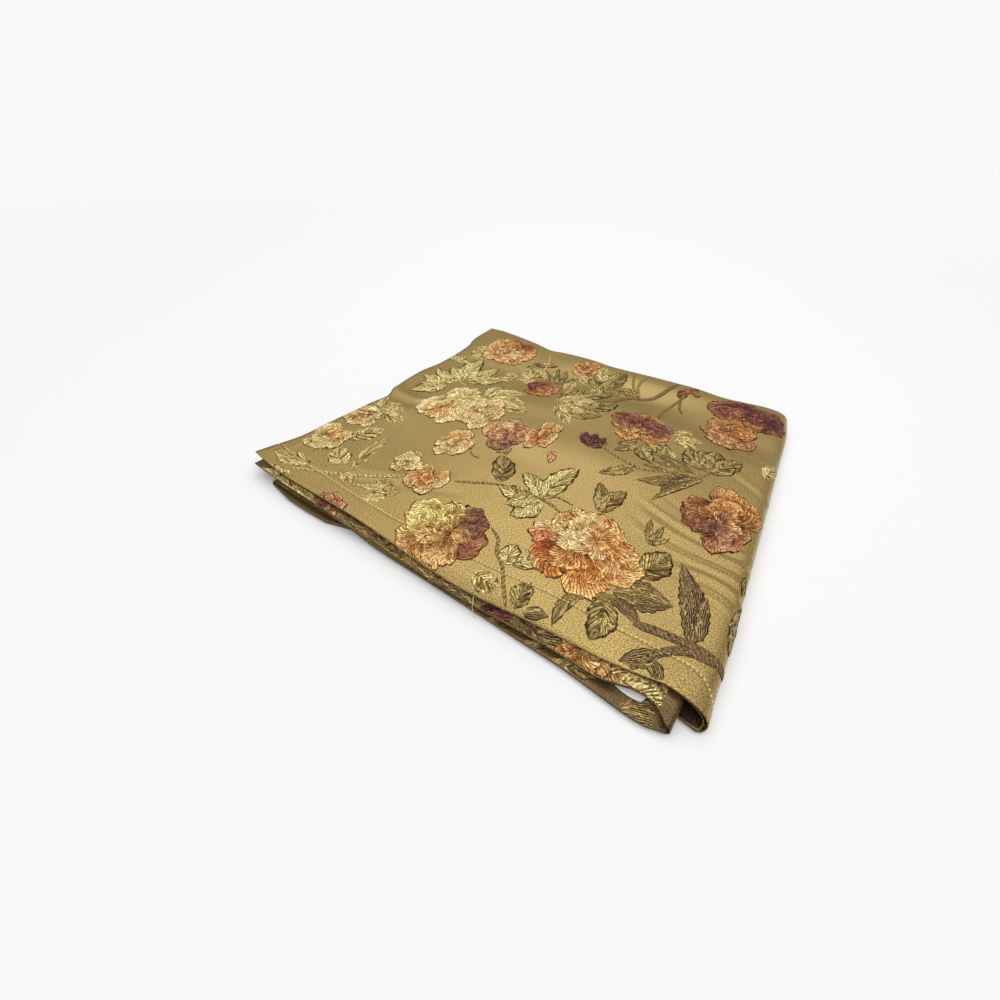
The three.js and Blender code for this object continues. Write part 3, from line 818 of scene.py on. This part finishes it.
# root x and y, direction and spread in degrees, leaves, length, width, kind
SPRAYS = [
    (-112, 150, 200, 130, 4, 42, 19, "pale"), (-152, 190, 350, 60, 3, 58, 22, "olive"),
    (-75, 148, 95, 80, 4, 62, 16, "gray"), (-18, 108, 82, 60, 3, 84, 28, "olive"),
    (-38, 84, 358, 80, 3, 72, 30, "pale"), (0, 182, 80, 80, 3, 62, 24, "olive"),
    (76, 206, 188, 40, 2, 60, 24, "olive"), (128, 62, 285, 120, 5, 44, 22, "olive"),
    (158, 96, 20, 70, 3, 44, 20, "pale"), (228, 34, 95, 76, 3, 70, 36, "olive"),
    (214, 20, 200, 60, 3, 72, 22, "dark"), (-205, 50, 118, 120, 5, 88, 34, "light"),
    (-224, 30, 215, 70, 3, 56, 28, "light"), (-140, 24, 48, 90, 4, 66, 30, "light"),
    (-250, -112, 62, 120, 4, 54, 24, "pale"), (82, -258, 66, 90, 3, 34, 15, "light"),
    (56, -150, 228, 70, 3, 48, 26, "light"), (-96, -245, 200, 60, 3, 44, 17, "pale"),
    (-284, 108, 62, 90, 3, 46, 22, "light"), (-268, 178, 20, 100, 3, 40, 22, "pale"),
    (-62, 212, 20, 90, 3, 42, 19, "pale"), (-250, 262, 300, 80, 3, 40, 18, "pale"),
    (144, 252, 90, 50, 3, 34, 19, "rust"), (-30, -70, 250, 80, 3, 30, 13, "gray"),
]
# width, kind, points that the stem passes
STEMS = [
    (5.5, "olive", (76, 6, 95, -2, 118, -10, 148, -14, 175, 0, 205, 16, 226, 22)),
    (4.5, "olive", (228, 36, 222, 24, 214, 14)),
    (5.0, "olive", (-48, -182, -20, -166, 10, -152, 64, -147, 98, -156)),
    (3.5, "olive", (64, -140, 78, -132, 100, -134)),
    (4.5, "olive", (38, -224, 54, -234, 64, -252, 82, -268, 94, -286, 110, -306)),
    (11.0, "brown", (320, -246, 304, -247, 280, -247, 250, -249, 222, -254)),
    (10.0, "brown", (300, -250, 272, -256, 256, -268, 244, -284, 236, -300)),
    (8.0, "olive", (196, -236, 176, -246, 158, -264, 150, -278)),
    (9.0, "dark", (116, 284, 100, 228, 84, 204, 60, 192, 48, 172, 40, 150, 20, 128)),
    (6.0, "olive", (60, 280, 57, 236, 68, 208)), (5.0, "olive", (36, 272, 48, 232, 66, 208)),
    (6.0, "dark", (140, 245, 128, 205, 122, 172, 123, 142)), (5.0, "dark", (136, 228, 142, 204, 150, 190)),
    (5.0, "light", (-105, -212, -128, -228, -152, -242, -190, -262, -240, -284)),
    (4.5, "light", (-95, -235, -130, -252, -150, -262)), (4.0, "light", (-93, -236, -94, -252)),
    (5.0, "light", (-214, 50, -205, 45, -192, 42)),
    (5.0, "light", (-284, 128, -258, 140, -232, 156, -222, 162)),
    (3.0, "olive", (-80, -95, -72, -112, -60, -122, -50, -120)),
    (5.0, "pale", (-92, 150, -112, 182, -120, 215, -135, 250)),
]
# for each kind of leaf, the tone of its threads and of the lines between them
VEINS = {
    "light": (0.74, 0.0), "pale": (0.68, 0.0), "olive": (0.66, 0.0), "gray": (0.6, 0.0),
    "dark": (0.22, 1.0), "brown": (0.22, 0.95), "peach": (0.62, 0.0), "yellow": (0.62, 0.0),
    "plum": (0.45, 0.0), "pink": (0.6, 0.1), "rust": (0.5, 0.1),
}
LENGTHWISE = ("dark", "brown", "plum")  # kinds whose threads run from root to tip
LEAF_LIFTS = (0.3, 0.45, 0.6)  # how far leaves stand off the cloth; one is picked for each
LEAF_THREAD = 3.3  # from one slanting thread to the next, along the midrib
HALF_LEAF = np.array([0, 0.24, 0.5, 0.72, 0.83, 0.92, 1.0])[:, None]  # rows from the midrib to the margin
LONG_ROW = 2.6  # from one row of places to the next, along threads that run from root to tip
TOOTH = 11.0  # from one tooth of the margin to the next
MIDRIB, THINNEST = 0.055, 1.3  # the midrib's cord: its width as a share of the leaf's, and its least width
CORD_ROW = 1.6  # from one row of places to the next, along a cord
WIDE_CORD = 7.0  # from this width on a cord has four strands, and under it two
TURN = 6.5  # length of one turn of the strands


def leaf(rng, root_x, root_y, tip_x, tip_y, width, bend, kind):
    """The two halves of a leaf and the cord along its midrib."""
    root, tip = np.array([root_x, root_y], float), np.array([tip_x, tip_y], float)
    length = np.linalg.norm(tip - root)
    ahead = (tip - root) / length
    aside = np.array([-ahead[1], ahead[0]])

    def midrib(q):
        return root + (tip - root) * q[..., None] + aside * (bend * np.sin(np.pi * q))[..., None]

    fill, vein = VEINS[kind]
    lengthwise = kind in LENGTHWISE
    if lengthwise:
        threads, slant, gap = max(3, round(0.7 * width / THREAD)), 0.05, 0.16
        q = np.linspace(0, 1, max(8, round(length / LONG_ROW)))[None, :]
        across, thread, crest = (values[:, None] for values in furrows(threads))
        station = np.arange(q.size)[None, :]
    else:
        threads, slant, gap = max(4, round(length / LEAF_THREAD)), 0.5, 0.5
        q, thread, crest = (values[None, :] for values in furrows(threads, 0.38))
        across = HALF_LEAF
        station = np.arange(len(across))[:, None]
    above = LEAF_LIFTS[rng.integers(3)]
    patches = []
    for side in (1, -1):
        tooth = 1 + 0.08 * np.sin(2 * np.pi * q * length / TOOTH + rng.uniform(0, 6))
        tooth = tooth + 0.03 * np.sin(17 * q + bend)
        thread_end = np.minimum(q + slant * np.sin(np.pi * q) * (1 - 0.6 * q), 1)
        margin = width / 2 * np.sin(np.pi * thread_end ** 0.9) ** (0.6 + 0.3 * q) * tooth
        at = q * (1 - 0.02 * across) + slant * across ** 1.3 * np.sin(np.pi * q) * (1 - 0.6 * q)
        wave = 0.012 * np.sin(9 * q + 5 * across) * (across < 0.95)
        spot = midrib(np.minimum(at, 1.0)) + aside * side * (margin * (across + wave))[..., None]
        dome = 0.25 * np.sin(np.pi * (0.2 + 0.7 * across))
        lift = above + dome - gap * (1 - crest) - 0.2 * (across > 0.99)
        grain = rng.normal(size=(2, threads + 2, len(across) + q.size))
        fleck = grain[1, thread, station // 2]
        # one half is painted lighter than the other, as painted light; threads and places along them differ
        # a little
        tone = fill + 0.12 * side + 0.2 * grain[0, thread, 0] + 0.32 * fleck
        tone = tone + (0 if lengthwise else 0.12 * across)
        line = vein + 0.35 * (fill - vein) * across + 0.15 * grain[0, thread, station // 3]
        colour = shade(kind, lerp(line, tone, crest))
        rim = np.clip(0.5 + 0.3 * fleck[-1], 0, 1)[:, None]
        colour[-1 if lengthwise else -2:] = lerp(OUTLINE, SHADES[kind][2 if kind == "pale" else 0], rim)
        along, over = np.broadcast_arrays(q * length, side * across * width / 2)
        run = np.stack((over, along) if lengthwise else (along, over), -1)
        lift = np.broadcast_to(lift, spot.shape[:2])
        patches.append(bound(spot[..., 0], spot[..., 1], lift, colour, run, False))
    path = midrib(np.linspace(0, 0.96, max(3, round(length / 5)))).ravel()
    vein_kind = "brown" if fill > 0.3 else "pale"
    return patches + [cord(max(THINNEST, MIDRIB * width), vein_kind, path, above + 0.3, 0.75)]


def spray(rng, x, y, direction, spread, count, length, width, kind):
    """The table rows of a few leaves that fan out from one root."""
    rows = []
    for turn in np.radians(direction + spread * np.linspace(-0.5, 0.5, count) + rng.normal(0, 6, count)):
        ahead = np.array([math.cos(turn), math.sin(turn)]) * length * rng.uniform(0.75, 1.1)
        start, tip = np.array([x, y]) + 0.1 * ahead, np.array([x, y]) + ahead
        rows.append((*start, *tip, width * rng.uniform(0.85, 1.1), rng.uniform(-5, 5), kind))
    return rows


def cord(width, kind, points, lift=0.5, taper=0.0):
    """A couched cord along a smooth line through points given as x, y, x, y and so on."""
    points = np.array(points, float).reshape(-1, 2)
    ends = np.vstack([2 * points[0] - points[1], points, 2 * points[-1] - points[-2]])
    ran = np.concatenate([[0], np.cumsum(np.linalg.norm(np.diff(points, axis=0), axis=-1))])
    at = np.linspace(0, ran[-1], max(4, round(ran[-1] / CORD_ROW)))
    row = np.clip(np.searchsorted(ran, at, side="right") - 1, 0, len(points) - 2)
    u = ((at - ran[row]) / (ran[row + 1] - ran[row]))[:, None]
    a, b, c, d = (ends[row + k] for k in range(4))
    line = 0.5 * (2 * b + (c - a) * u + (2 * a - 5 * b + 4 * c - d) * u ** 2
                  + (3 * b - a - 3 * c + d) * u ** 3)
    ahead = np.gradient(line, axis=0)
    ahead /= np.linalg.norm(ahead, axis=-1, keepdims=True)
    aside = np.column_stack([-ahead[:, 1], ahead[:, 0]])
    strands = 2 if width < WIDE_CORD else 4
    across, _, crest = (values[:, None] for values in furrows(strands))
    across = 2 * across - 1
    share = at / ran[-1]
    wide = width / 2 * (1 - taper * share) * np.minimum(1, 0.45 + 6 * np.minimum(share, 1 - share))
    sway = 0.12 * np.sin(at / 5.0) * (1 - across ** 2)
    spot = line + aside * (wide * (across + sway))[..., None]
    twist = np.sin(2 * np.pi * (at / TURN + 0.4 * across * width / 6)) * (1 if strands == 2 else 0.35)
    height = lift * np.sqrt(np.clip(1.02 - across ** 2, 0, 1)) + 0.1 * twist + 0.1 * crest
    height = np.where(np.abs(across) > 0.99, ROOTED, height)
    tone = 0.32 + 0.3 * crest + 0.22 * twist + 0.12 * np.sin(at * 1.7 + 3 * across)
    colour = shade(kind, tone - 0.5 * across ** 6)
    run = np.stack(np.broadcast_arrays(wide * across, at), -1)
    return spot[..., 0], spot[..., 1], height, colour, run


rng = np.random.default_rng(40)
leaf_patches = [patch for row in LEAVES for patch in leaf(rng, *row)]
spray_rows = [row for sprig in SPRAYS for row in spray(rng, *sprig)]
spray_patches = [patch for row in spray_rows for patch in leaf(rng, *row)]
stem_patches = [cord(width, kind, points, 0.9) for width, kind, points in STEMS]
print(len(LEAVES) + len(spray_rows), "leaves and", len(STEMS), "stems")

# %% [markdown]
# ## Motifs that show along the front
#
# The cloths inside the pile have motifs of their own. Only the few centimetres next to their front edges
# can be seen, so only those are worked: a peach rose with golden ribs near the right, a small pink one near
# the left, and leaves along the rest.

# %% Motifs on the inner cloths
SECOND_ROSES = [
    (192, -304, 60, 44, "peach", (0.0, 0.4), [(-14, 0, 20, "orange", 0.7)]),
    (-150, -306, 46, 30, "pink", (0.0, 0.0), [(-10, 0, 10, "plum", 0.8)]),
]
# the leaves along the front are mostly of the dark kinds: partly their thread colour, partly painted shade
# for these low bands
SECOND_LEAVES = [
    (206, -306, 262, -310, 34, 0, "peach"), (232, -308, 276, -312, 36, 0, "yellow"),
    (254, -296, 300, -326, 54, 0, "dark"), (186, -300, 140, -312, 30, 2, "dark"),
    (158, -316, 112, -306, 24, 2, "brown"), (120, -306, 84, -314, 24, 2, "plum"),
    (92, -314, 50, -308, 24, 2, "dark"), (62, -306, 20, -314, 22, 2, "brown"),
    (28, -312, -14, -306, 24, 2, "dark"), (-16, -306, -54, -310, 22, 2, "olive"),
    (-50, -310, -94, -304, 22, 2, "dark"), (-88, -304, -126, -308, 20, 2, "brown"),
    (-176, -306, -214, -300, 22, 2, "light"), (-206, -304, -246, -300, 22, 2, "pale"),
    (-240, -300, -282, -302, 22, 2, "light"),
]
# mostly dark kinds here too: partly thread colour, partly painted shade on the low band
THIRD_LEAVES = [
    (-216, -312, -190, -298, 16, 2, "dark"), (-176, -313, -150, -300, 16, 2, "brown"),
    (-130, -314, -104, -300, 16, 2, "dark"), (-84, -314, -56, -300, 16, 2, "dark"),
    (-30, -316, 0, -302, 18, 2, "brown"), (14, -317, 44, -304, 18, 2, "dark"),
    (60, -320, 92, -306, 20, 2, "dark"), (96, -321, 126, -306, 16, 2, "brown"),
    (140, -322, 166, -308, 12, 2, "dark"), (290, -322, 276, -302, 18, 2, "plum"),
    (170, -324, 214, -314, 20, 2, "gray"), (240, -330, 290, -318, 34, 2, "dark"),
    (-250, -306, -206, -300, 22, 2, "brown"), (-288, -300, -246, -298, 22, 2, "gray"),
]
second_patches = [patch for seed, row in enumerate(SECOND_ROSES) for patch in rose(70 + seed, *row)]
second_patches += [patch for row in SECOND_LEAVES for patch in leaf(rng, *row)]
third_patches = [patch for row in THIRD_LEAVES for patch in leaf(rng, *row)]


def fold_lining_in_painted_shade():
    """Plum and brown threads on the inner cloth of the big fold, which show inside its open front end,
    taken far down as painted shade.
    """
    deep = np.linspace(0.003, 0.16, 61)
    point = np.array([fold_place("top", "inner", share, deep) for share in np.linspace(0.1, 1, 40)]
                     + [place("bottom", "inner", across, deep) for across in np.linspace(0.995, 0.8, 20)])
    row, thread = np.indices(point.shape[:2])
    lift = SHEET / 2 + 0.35 + 0.15 * (thread % 2)
    lift[[0, -1]] = lift[:, [0, -1]] = SHEET / 2 + ROOTED
    tone = 0.12 + 0.2 * np.sin(0.5 * row + 0.3 * thread) * np.sin(0.23 * row) + 0.16 * (thread % 2)
    # painted shade: deep tones, scaled down further, stand for the shadow inside the fold
    colour = 0.6 * lerp(shade("plum", tone), shade("brown", tone), 0.5)
    return point - normals_of(point) * lift[..., None], colour


print(len(second_patches) + len(third_patches), "patches on the inner cloths")

# %% [markdown]
# ## Looks of the satin and of the thread
#
# The satin is warp-faced and gold: fairly smooth, with a soft gloss and a fine grain from its yarns. Its
# wrong side is duller and browner. The right side of the cloths inside the pile is painted part of the way
# towards that brown as well, as painted shade. The embroidery thread takes its colours from the shade card,
# with fine plies along each thread. The label is a plain off-white tape, and the stitches are cream sewing
# thread.


# %% Materials
def node_adder(tree):
    """A function that adds a node to a tree, fed with values, sockets or the first output of nodes."""
    def add(kind, inputs=(), **settings):
        node = tree.nodes.new(kind)
        for key, value in settings.items():
            setattr(node, key, value)
        for key, value in dict(inputs).items():
            if isinstance(value, bpy.types.Node):
                value = value.outputs[0]
            if isinstance(value, bpy.types.NodeSocket):
                tree.links.new(value, node.inputs[key])
            else:
                node.inputs[key].default_value = value
        return node
    return add


def new_material(name, **shader_values):
    """A material with constant values on its shader, and a function that adds nodes to it."""
    material = bpy.data.materials.new(name)
    material.use_nodes = True
    for key, value in shader_values.items():
        material.node_tree.nodes["Principled BSDF"].inputs[key.replace("_", " ")].default_value = value
    return material, node_adder(material.node_tree)


def feed(material, entry, source):
    """Links a node to an entry of the material's shader."""
    tree = material.node_tree
    tree.links.new(source.outputs[0], tree.nodes["Principled BSDF"].inputs[entry])


def relief_of(material, add, noise, strength, distance):
    """Gives a material the fine relief of a noise."""
    bump = add("ShaderNodeBump", {"Height": noise, "Strength": strength, "Distance": distance})
    feed(material, "Normal", bump)


def times_noise(add, colour, noise, darkest, lightest):
    """A colour made darker and lighter by a noise."""
    factor = add("ShaderNodeMapRange", {"Value": noise, "From Min": 0.3, "From Max": 0.7, "To Min": darkest,
                                        "To Max": lightest})
    factor = add("ShaderNodeCombineColor", {"Red": factor, "Green": factor, "Blue": factor})
    return add("ShaderNodeMixRGB", {"Fac": 1.0, "Color1": colour, "Color2": factor}, blend_type="MULTIPLY")


def linear(*colour):
    return (*srgb(*colour).tolist(), 1.0)


satin_material, add = new_material("gold_satin", Roughness=0.32, Metallic=0.5, Specular_IOR_Level=0.3)
flat = add("ShaderNodeUVMap", uv_map="flat cloth")
yarns = add("ShaderNodeMapping", {"Vector": flat, "Scale": (620.0, 740.0, 1.0)})
grain = add("ShaderNodeTexNoise", {"Vector": yarns, "Scale": 1.0, "Detail": 3.0, "Roughness": 0.7})
cloudy = add("ShaderNodeTexNoise", {"Vector": flat, "Scale": 16.0, "Detail": 2.0})
dim, bright, wrong_side_and_painted_shade = linear(164, 137, 80), linear(180, 153, 92), linear(96, 76, 46)
gold = add("ShaderNodeMixRGB", {"Fac": cloudy, "Color1": dim, "Color2": bright})
# the attribute mixes the gold towards brown: all the way on the wrong side, part of the way as painted
# shade on the cloths inside the pile
side = add("ShaderNodeAttribute", attribute_name="right_side_and_painted_shade").outputs["Fac"]
sides_and_painted_shade = add("ShaderNodeMixRGB", {"Fac": side, "Color1": wrong_side_and_painted_shade, "Color2": gold})
feed(satin_material, "Base Color", times_noise(add, sides_and_painted_shade, grain, 0.0, 2.1))
relief_of(satin_material, add, grain, 0.35, 0.0004)
satin_mesh.materials.append(satin_material)

thread_material, add = new_material("embroidery_thread", Roughness=0.6, Metallic=0.15,
                                    Specular_IOR_Level=0.15)
paint = add("ShaderNodeVertexColor", layer_name="thread_colour")
run = add("ShaderNodeUVMap", uv_map="run_of_thread")
plies = add("ShaderNodeMapping", {"Vector": run, "Scale": (460.0, 300.0, 1.0)})
plies = add("ShaderNodeTexNoise", {"Vector": plies, "Scale": 1.0, "Detail": 2.0, "Roughness": 0.6})
feed(thread_material, "Base Color", times_noise(add, paint, plies, 0.2, 1.9))
relief_of(thread_material, add, plies, 0.6, 0.0006)


def plain_material(name, colour, roughness, fineness, strength):
    """One colour, with a fine noise as its relief."""
    material, add = new_material(name, Base_Color=linear(*colour), Roughness=roughness)
    spot = add("ShaderNodeTexCoord").outputs["Object"]
    noise = add("ShaderNodeTexNoise", {"Vector": spot, "Scale": fineness})
    relief_of(material, add, noise, strength, 0.0002)
    return material


tape_material = plain_material("label_tape", (240, 238, 232), 0.75, 1800.0, 0.2)
sewing_material = plain_material("sewing_thread", (240, 220, 152), 0.55, 2500.0, 0.3)
print([material.name for material in bpy.data.materials])

# %% The embroidery on its cloth
PRESSED = 0.6  # what is left of the height of thread between two cloths
motifs = [sew(name, patches, thread_material) for name, patches in (
    ("large_roses", large_roses), ("small_roses", small_roses), ("leaves", leaf_patches),
    ("sprays_of_leaves", spray_patches), ("stems", stem_patches))]
motifs += [sew(name, patches, thread_material, layer, PRESSED) for name, patches, layer in (
    ("motifs_on_the_second_strip", second_patches, ("second", "inner")),
    ("motifs_on_the_third_strip", third_patches, ("third", "outer")))]
points, colour = fold_lining_in_painted_shade()
index = np.arange(points[..., 0].size).reshape(points.shape[:2])
points, faces = points.reshape(-1, 3), quads_of(index).reshape(-1, 4)[:, [0, 3, 2, 1]]
lining_in_painted_shade = thread_piece("threads_and_painted_shade_inside_the_fold", points, faces, colour.reshape(-1, 3), points[:, :2],
                      thread_material)

# %% [markdown]
# ## Stitches
#
# The hem is held by one line of lockstitches in cream thread, about six to the inch. Each stitch is a short
# rounded bar that sinks into the satin at its ends. The line is laid on the cloth once, and Geometry Nodes
# set a stitch at every step along it.


# %% Stitches along the hem
def stitch_nodes():
    """Nodes that set a stitch at every step along a line."""
    tree = bpy.data.node_groups.new("stitches_along_a_line", "GeometryNodeTree")
    face = tree.interface
    face.new_socket("Geometry", in_out="INPUT", socket_type="NodeSocketGeometry")
    for name, size in (("Step", 0.0044), ("Length", 0.0031), ("Thickness", 0.0021)):
        face.new_socket(name, in_out="INPUT", socket_type="NodeSocketFloat").default_value = size
    face.new_socket("Thread", in_out="INPUT", socket_type="NodeSocketMaterial")
    face.new_socket("Geometry", in_out="OUTPUT", socket_type="NodeSocketGeometry")
    add = node_adder(tree)
    given = add("NodeGroupInput").outputs
    line = add("GeometryNodeMeshToCurve", {"Mesh": given["Geometry"]})
    steps = add("GeometryNodeResampleCurve", {"Curve": line, "Length": given["Step"]}, mode="LENGTH")
    turn = add("FunctionNodeAlignRotationToVector", {"Vector": add("GeometryNodeInputTangent")}, axis="X")
    uneven = add("FunctionNodeRandomValue", {"Min": 0.85, "Max": 1.1, "Seed": 7}, data_type="FLOAT")
    long = add("ShaderNodeMath", {0: given["Length"], 1: uneven.outputs[1]}, operation="MULTIPLY")
    size = add("ShaderNodeCombineXYZ", {"X": long, "Y": given["Thickness"], "Z": given["Thickness"]})
    bead = add("GeometryNodeMeshUVSphere", {"Segments": 10, "Rings": 6, "Radius": 0.5})
    bead = add("GeometryNodeSetShadeSmooth", {"Geometry": bead})
    placed = add("GeometryNodeInstanceOnPoints", {
        "Points": steps, "Instance": bead, "Rotation": turn, "Scale": size})
    real = add("GeometryNodeRealizeInstances", {"Geometry": placed})
    finished = add("GeometryNodeSetMaterial", {"Geometry": real, "Material": given["Thread"]})
    add("NodeGroupOutput", {"Geometry": finished})
    return tree


STITCHES = stitch_nodes()


def finished_mesh(name, guide):
    """The mesh that a guide object makes. The guide is then taken away."""
    bpy.context.scene.collection.objects.link(guide)
    mesh = bpy.data.meshes.new_from_object(guide.evaluated_get(bpy.context.evaluated_depsgraph_get()))
    bpy.data.objects.remove(guide)
    mesh.name = name
    return mesh


def stitched(name, line, **values):
    """A piece made by setting stitches along a line of places in metres."""
    mesh = bpy.data.meshes.new(name + "_line")
    mesh.from_pydata(line.tolist(), [(k, k + 1) for k in range(len(line) - 1)], [])
    guide = bpy.data.objects.new(name + "_line", mesh)
    nodes = guide.modifiers.new("stitches", "NODES")
    nodes.node_group = STITCHES
    for item in STITCHES.interface.items_tree:
        if item.in_out == "INPUT" and item.name != "Geometry":
            nodes[item.identifier] = values.get(item.name, item.default_value)
    mesh = finished_mesh(name, guide)
    print(name + ":", len(mesh.polygons), "faces")
    return add_piece(name, mesh)


along_hem = np.linspace(-284, ROUND_SIDE, 620)
hem_line = on_cloth(along_hem, curve(HEM, "x", "y", along_hem), 0.12) * MM + np.array(TO_FRAME.translation)
hem_stitches = stitched("hem_stitches", hem_line, Thread=sewing_material)

# %% [markdown]
# ## Label and loose thread
#
# A small blank label is caught between the layers near the right front corner, under the cloth that its
# thickness lifts. One end of sewing thread hangs loose from the front edge.

# %% Label and loose thread
TAPE = 0.7  # thickness of the label
ROUNDED = 0.32  # how much its corners are rounded
u, v = np.meshgrid(np.linspace(-1, 1, 25), np.linspace(-1, 1, 13), indexing="ij")
share = 0.93 + 0.03 * u * np.sqrt(1 - ROUNDED * v ** 2)
deep = 0.0395 + 0.0155 * v * np.sqrt(1 - ROUNDED * u ** 2)
tape = place("third", "outer", share, deep)
heights = [lie(STRIPS[strip]["outer"], tape[..., 0], tape[..., 1]) for strip in ("third", "second")]
tape[..., 2] = sum(heights) / 2
tape_mesh = sheet_mesh("blank_label", tape, TAPE)[0]
tape_mesh.transform(TO_FRAME)
label = add_piece("blank_label", tape_mesh, tape_material)
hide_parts("sewn_in_label")


def strand(name, points, radius, material):
    """A thin round strand through a few places in millimetres."""
    line = bpy.data.curves.new(name, "CURVE")
    line.dimensions, line.use_fill_caps = "3D", True
    line.bevel_depth, line.bevel_resolution = radius * MM, 2
    spline = line.splines.new("NURBS")
    spline.points.add(len(points) - 1)
    for control, point in zip(spline.points, points):
        control.co = (*(Vector(point) * MM), 1)
    spline.use_endpoint_u, spline.order_u = True, 3
    mesh = finished_mesh(name, bpy.data.objects.new(name + "_line", line))
    mesh.transform(TO_FRAME)
    mesh.materials.clear()
    return add_piece(name, mesh, material)


LOOSE = [(76, -313, 21), (78, -317.5, 21), (79, -318.5, 17), (78, -319, 12), (80, -320, 7), (82, -321, 2),
         (84, -323, 0.6)]
loose_thread = strand("loose_thread", LOOSE, 0.35, sewing_material)
print("label", np.round(tape.min((0, 1)), 1), "to", np.round(tape.max((0, 1)), 1), "mm")

# %% [markdown]
# ## Floor, light and camera
#
# A plain pale floor under two large soft lamps and a bright ceiling. One lamp stands behind and to the
# left, so that the creases and threads throw short soft shadows towards the viewer.

# %% Floor and light
FLOOR, DROP = 30.0, -0.0005  # half the floor's side, and its height under the cloth, in metres
floor_mesh = bpy.data.meshes.new("floor")
corners = [(x * FLOOR, y * FLOOR, DROP) for x, y in ((-1, -1), (1, -1), (1, 1), (-1, 1))]
floor_mesh.from_pydata(corners, [], [(0, 1, 2, 3)])
floor_material, add = new_material("pale_floor", Base_Color=(0.93, 0.93, 0.93, 1), Roughness=0.9,
                                   Emission_Color=(1, 1, 1, 1))
# the lamps reach a few metres; a faint glow takes over there, so that the floor runs into the walls
away = add("ShaderNodeVectorMath", {0: add("ShaderNodeTexCoord").outputs["Object"]}, operation="LENGTH")
feed(floor_material, "Emission Strength", add("ShaderNodeMapRange", {
    "Value": away.outputs["Value"], "From Min": 1.0, "From Max": 4.0, "To Min": 0.033, "To Max": 0.135,
}, interpolation_type="SMOOTHSTEP"))
floor_mesh.materials.append(floor_material)
floor = bpy.data.objects.new("floor", floor_mesh)
bpy.context.scene.collection.objects.link(floor)

# a bright ceiling over darker walls, as in a room: the walls are pale only where the camera sees them
world = bpy.data.worlds.new("studio")
world.use_nodes = True
add = node_adder(world.node_tree)
upward = add("ShaderNodeSeparateXYZ", {"Vector": add("ShaderNodeTexCoord")}).outputs["Z"]
walls = add("ShaderNodeMapRange", {
    "Value": upward, "From Min": 0.48, "From Max": 0.7, "To Min": 0.15, "To Max": 1.3,
}, interpolation_type="SMOOTHSTEP")
shown = add("ShaderNodeMix", {"Factor": add("ShaderNodeLightPath"), "A": walls, "B": 0.95})
sky = world.node_tree.nodes["Background"]
world.node_tree.links.new(shown.outputs["Result"], sky.inputs["Strength"])
sky.inputs["Color"].default_value = (1, 1, 1, 1)
bpy.context.scene.world = world


def soft_light(name, spot, size, power):
    """A round lamp that shines on the middle of the floor."""
    lamp = bpy.data.lights.new(name, "AREA")
    lamp.shape, lamp.size, lamp.energy = "DISK", size, power
    holder = bpy.data.objects.new(name, lamp)
    turn = Vector(spot).to_track_quat("Z", "Y").to_matrix()
    holder.matrix_world = Matrix.Translation(spot) @ turn.to_4x4()
    bpy.context.scene.collection.objects.link(holder)


soft_light("behind", (-0.6, 1.42, 1.84), 1.4, 3.5)
soft_light("above", (0.2, 0.2, 2.4), 1.6, 4)
bpy.context.scene.view_settings.view_transform = "Standard"

# %% Camera
AZIMUTH, ELEVATION, ROLL = (math.radians(angle) for angle in (30.826, 41.661, 3.0))
SPOT = (0.2304, -0.5131, 0.3871)
level = Vector((math.cos(AZIMUTH), math.sin(AZIMUTH), 0))
outward = Vector((math.sin(AZIMUTH), -math.cos(AZIMUTH), 0))
back = outward * math.cos(ELEVATION) + Vector((0, 0, math.sin(ELEVATION)))
above = back.cross(level)
right = level * math.cos(ROLL) + above * math.sin(ROLL)
up = above * math.cos(ROLL) - level * math.sin(ROLL)
lens = bpy.data.cameras.new("camera")
lens.lens, lens.sensor_width, lens.clip_start = 15.66, 36.0, 0.01
camera = bpy.data.objects.new("camera", lens)
camera.matrix_world = Matrix.Translation(SPOT) @ Matrix((right, up, back)).transposed().to_4x4()
bpy.context.scene.collection.objects.link(camera)
bpy.context.scene.camera = camera
print("camera at", [round(math.degrees(angle)) for angle in (AZIMUTH, ELEVATION)], "degrees round and up")
